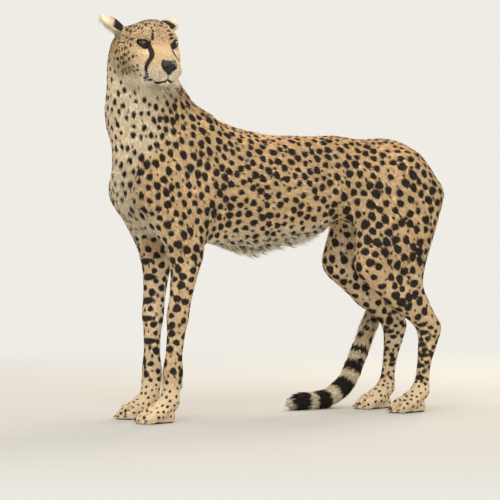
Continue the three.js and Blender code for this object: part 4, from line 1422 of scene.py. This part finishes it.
# One closed three-sided tuft for each root, straight or bent once, all in one mesh.
def makeTufts(name, tufts, bent, owners):
    roots, normals = tufts["roots"], tufts["normals"]
    count = len(roots)
    lies = waved(roots, tufts["lies"], normals)
    lies = unit(lies - normals * (lies * normals).sum(1, keepdims=True))
    sides = np.cross(normals, lies)
    length, width, lift = ((tufts["plan"][:, column] * dice.uniform(low, high, count))[:, None]
                           for column, (low, high) in enumerate([(0.72, 1.22), (0.8, 1.2), (0.6, 1.4)]))

    def ring(middle, shares):
        aside, above = sides * width * shares[0], normals * width * shares[1]
        return [middle - aside, middle + above, middle + aside]

    rows, heights = ring(roots - normals * tuftShape["sunk"], tuftShape["foot"]), [0, 0, 0]
    if bent:
        rise = length * lift * tuftShape["bendLift"] + tuftShape["bendRise"]
        rows += ring(roots + lies * length * tuftShape["bendAt"] + normals * rise, tuftShape["bend"])
        heights += [0.5, 0.5, 0.5]
    rows.append(roots + lies * length + normals * (length * lift))
    heights.append(1)
    each = len(rows)
    pattern = np.array(bentFaces if bent else straightFaces)
    one, two, three = (row[0] for row in rows[:3])
    if np.dot(np.cross(three - one, two - one), roots[0] + lies[0] * 0.01 - one) > 0:
        pattern = pattern[:, ::-1]
    points = np.stack(rows, axis=1).reshape(-1, 3)
    points[:, 2] = np.maximum(points[:, 2], aboveFloor)
    faces = (pattern[None] + (np.arange(count) * each)[:, None, None]).reshape(-1, 3)
    mesh = bpy.data.meshes.new(name)
    mesh.vertices.add(len(points))
    mesh.vertices.foreach_set("co", points.astype(np.float32).ravel())
    mesh.loops.add(len(faces) * 3)
    mesh.loops.foreach_set("vertex_index", faces.astype(np.int32).ravel())
    mesh.polygons.add(len(faces))
    mesh.polygons.foreach_set("loop_start", np.arange(0, len(faces) * 3, 3, dtype=np.int32))
    mesh.update(calc_edges=True)
    mark = marksAt(roots + lies * length * 0.3, normals, kinds[tufts["owners"]], tufts["tail"])
    tones = {"mark": mark, "pale": tufts["pale"], "warm": tufts["warm"], "grizzleAndShade": tufts["grizzleAndShade"],
             "shade": dice.random(count)}
    for tone, values in tones.items():
        setFloats(mesh, tone, np.repeat(values, each))
    setFloats(mesh, "along", np.tile(heights, count))
    across = np.array([-1, 0, 1] * (2 if bent else 1) + [0]) * tuftShape["patchHalf"]
    upward = (np.array(heights) - 0.5) * tuftShape["patchTall"]
    patch = flatPlaces(roots, owners)[:, None, :] + np.stack([across, upward], axis=1)[None]
    layer = mesh.uv_layers.new(name="OFBake")
    layer.data.foreach_set("uv", patch.reshape(-1, 2)[faces.ravel()].astype(np.float32).ravel())
    mesh.polygons.foreach_set("use_smooth", np.ones(len(faces), bool))
    piece = linked(name, mesh)
    piece.data.materials.append(tuftMaterial)
    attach(piece, "root")
    print(name, count, "tufts", len(faces), "faces")


coat = clearOfFace(rootsFor(1 / coatPlan[:, 3] ** 2))
coatKinds = kinds[coat["owners"]]
trunkMiddle = 0.02
leftSide = coat["roots"][:, 1] < 0
front = coat["roots"][:, 0] < trunkMiddle
# For each piece: how its nodes' names begin, which part of their coat it is, and whether its tufts bend.
coatPieces = {
    "coat_head": (("head",), True, False),
    "coat_ears": (("ear",), True, False),
    "coat_neck": (("neck",), True, True),
    "coat_trunk_front_left": (("trunk",), leftSide & front, True),
    "coat_trunk_front_right": (("trunk",), ~leftSide & front, True),
    "coat_trunk_rear": (("trunk",), ~front, True),
    "coat_shoulders": (("foreleg_upper",), True, True),
    "coat_forelegs": (("foreleg_lower",), True, False),
    "coat_thigh_left": (("thigh_left",), leftSide, True),
    "coat_thigh_right": (("thigh_right",), ~leftSide, True),
    "coat_shanks": (("shank", "hind_foot"), True, False),
    "coat_paws": (("forepaw", "hind_paw"), True, False),
    "coat_tail": (("tail",), True, True),
}
for name, (starts, part, bent) in coatPieces.items():
    owners = [number for number, node in enumerate(fleshNodes) if node.startswith(starts)]
    grown = np.isin(coatKinds, [kindOf(fleshNodes[number]) for number in owners])
    makeTufts(name, kept(coat, grown & part), bent, owners)

print("whiskers and claws")
whiskers = {"rows": 3, "inRow": 4, "length": 0.052, "thick": 0.00042, "points": 7, "ring": 4,
            "colour": (0.86, 0.82, 0.74)}
claws = {"arc": 0.0120, "thick": 0.0019, "start": 0.25, "bend": 0.9, "rings": 7, "ring": 10,
         "sunk": (0.004, 0, 0.001)}


# A closed tapering rod along a path, as points and faces that start at the number given.
def rod(path, radii, around, first):
    path = [np.array(p, float) for p in path]
    points, faces = [], []
    for number, place in enumerate(path):
        before, after = path[max(number - 1, 0)], path[min(number + 1, len(path) - 1)]
        way = unit(after - before)
        side = unit(np.cross(way, [0.0, 0.31, 0.95]))
        other = np.cross(way, side)
        for cosine, sine in roundSteps(around):
            points.append(place + (side * cosine + other * sine) * radii[number])
    for ring in range(len(path) - 1):
        for step in range(around):
            right = (step + 1) % around
            a, b = first + ring * around + step, first + ring * around + right
            faces.append((a, b, b + around, a + around))
    faces.append(tuple(first + step for step in reversed(range(around))))
    last = first + (len(path) - 1) * around
    faces.append(tuple(last + step for step in range(around)))
    return points, faces


def rodsPiece(name, rods, around, material):
    points, faces = [], []
    for path, radii in rods:
        more, sides = rod(path, radii, around, len(points))
        points += more
        faces += sides
    piece = meshPiece(name, points, faces)
    smoothed(piece, material)
    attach(piece, "root")


def whiskerMaterial():
    r = Recipe("whisker")
    r.colour(whiskers["colour"])
    return r.finish(Roughness=0.45)


def makeWhiskers():
    rods = []
    steps = np.linspace(0, 1, whiskers["points"])
    for side in (-1, 1):
        for row in range(whiskers["rows"]):
            for number in range(whiskers["inRow"]):
                root = nearestOnSkin(faceTree, onHead(44 - number * 8, side * (20 + number * 3.8),
                                                      -61 - row * 7.5 + number * 0.8))
                length = whiskers["length"] * (0.62 + 0.13 * number) * dice.uniform(0.9, 1.1)
                spray = dice.normal(0, 0.06, 3)
                way = headWay(0.42 - 0.22 * number + spray[0], side * (0.95 + spray[1]),
                              0.12 - 0.16 * row + spray[2])
                sag = headWay(-0.45, 0, -0.55) * length * dice.uniform(0.5, 0.8)
                path = [root - way * 0.0015 + way * length * t + sag * t * t for t in steps]
                rods.append((path, [whiskers["thick"] * (1 - 0.8 * t) for t in steps]))
    rodsPiece("whiskers", rods, whiskers["ring"], whiskerMaterial())


def makeClaws():
    tree = surfaceOf(skin)
    rods = []
    steps = np.linspace(0, 1, claws["rings"])
    for node in pawNodes:
        low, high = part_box(node)
        for step in toeSteps:
            across = (low.y + high.y) / 2 + step * toeShape["apart"] * 1.02
            start = low.x + outerBack(step) - 0.02
            found = tree.ray_cast(Vector((start, across, toeShape["clawHeight"])), Vector((1, 0, 0)), 0.06)
            if found[0] is None:
                continue
            root = np.array(found[0]) + np.array(claws["sunk"])
            path = []
            for t in steps:
                angle = claws["start"] + claws["bend"] * t
                along = -math.sin(angle) - t * 0.3 + math.sin(claws["start"])
                rise = math.cos(angle) - math.cos(claws["start"])
                path.append(root + np.array([along, 0, rise]) * claws["arc"])
            rods.append((path, [claws["thick"] * (1 - 0.85 * t ** 1.6) for t in steps]))
    horn = leatherMaterial("claw_horn", (0.035, 0.028, 0.022), 0.35, 600)
    rodsPiece("claws", rods, claws["ring"], horn)


makeWhiskers()
makeClaws()
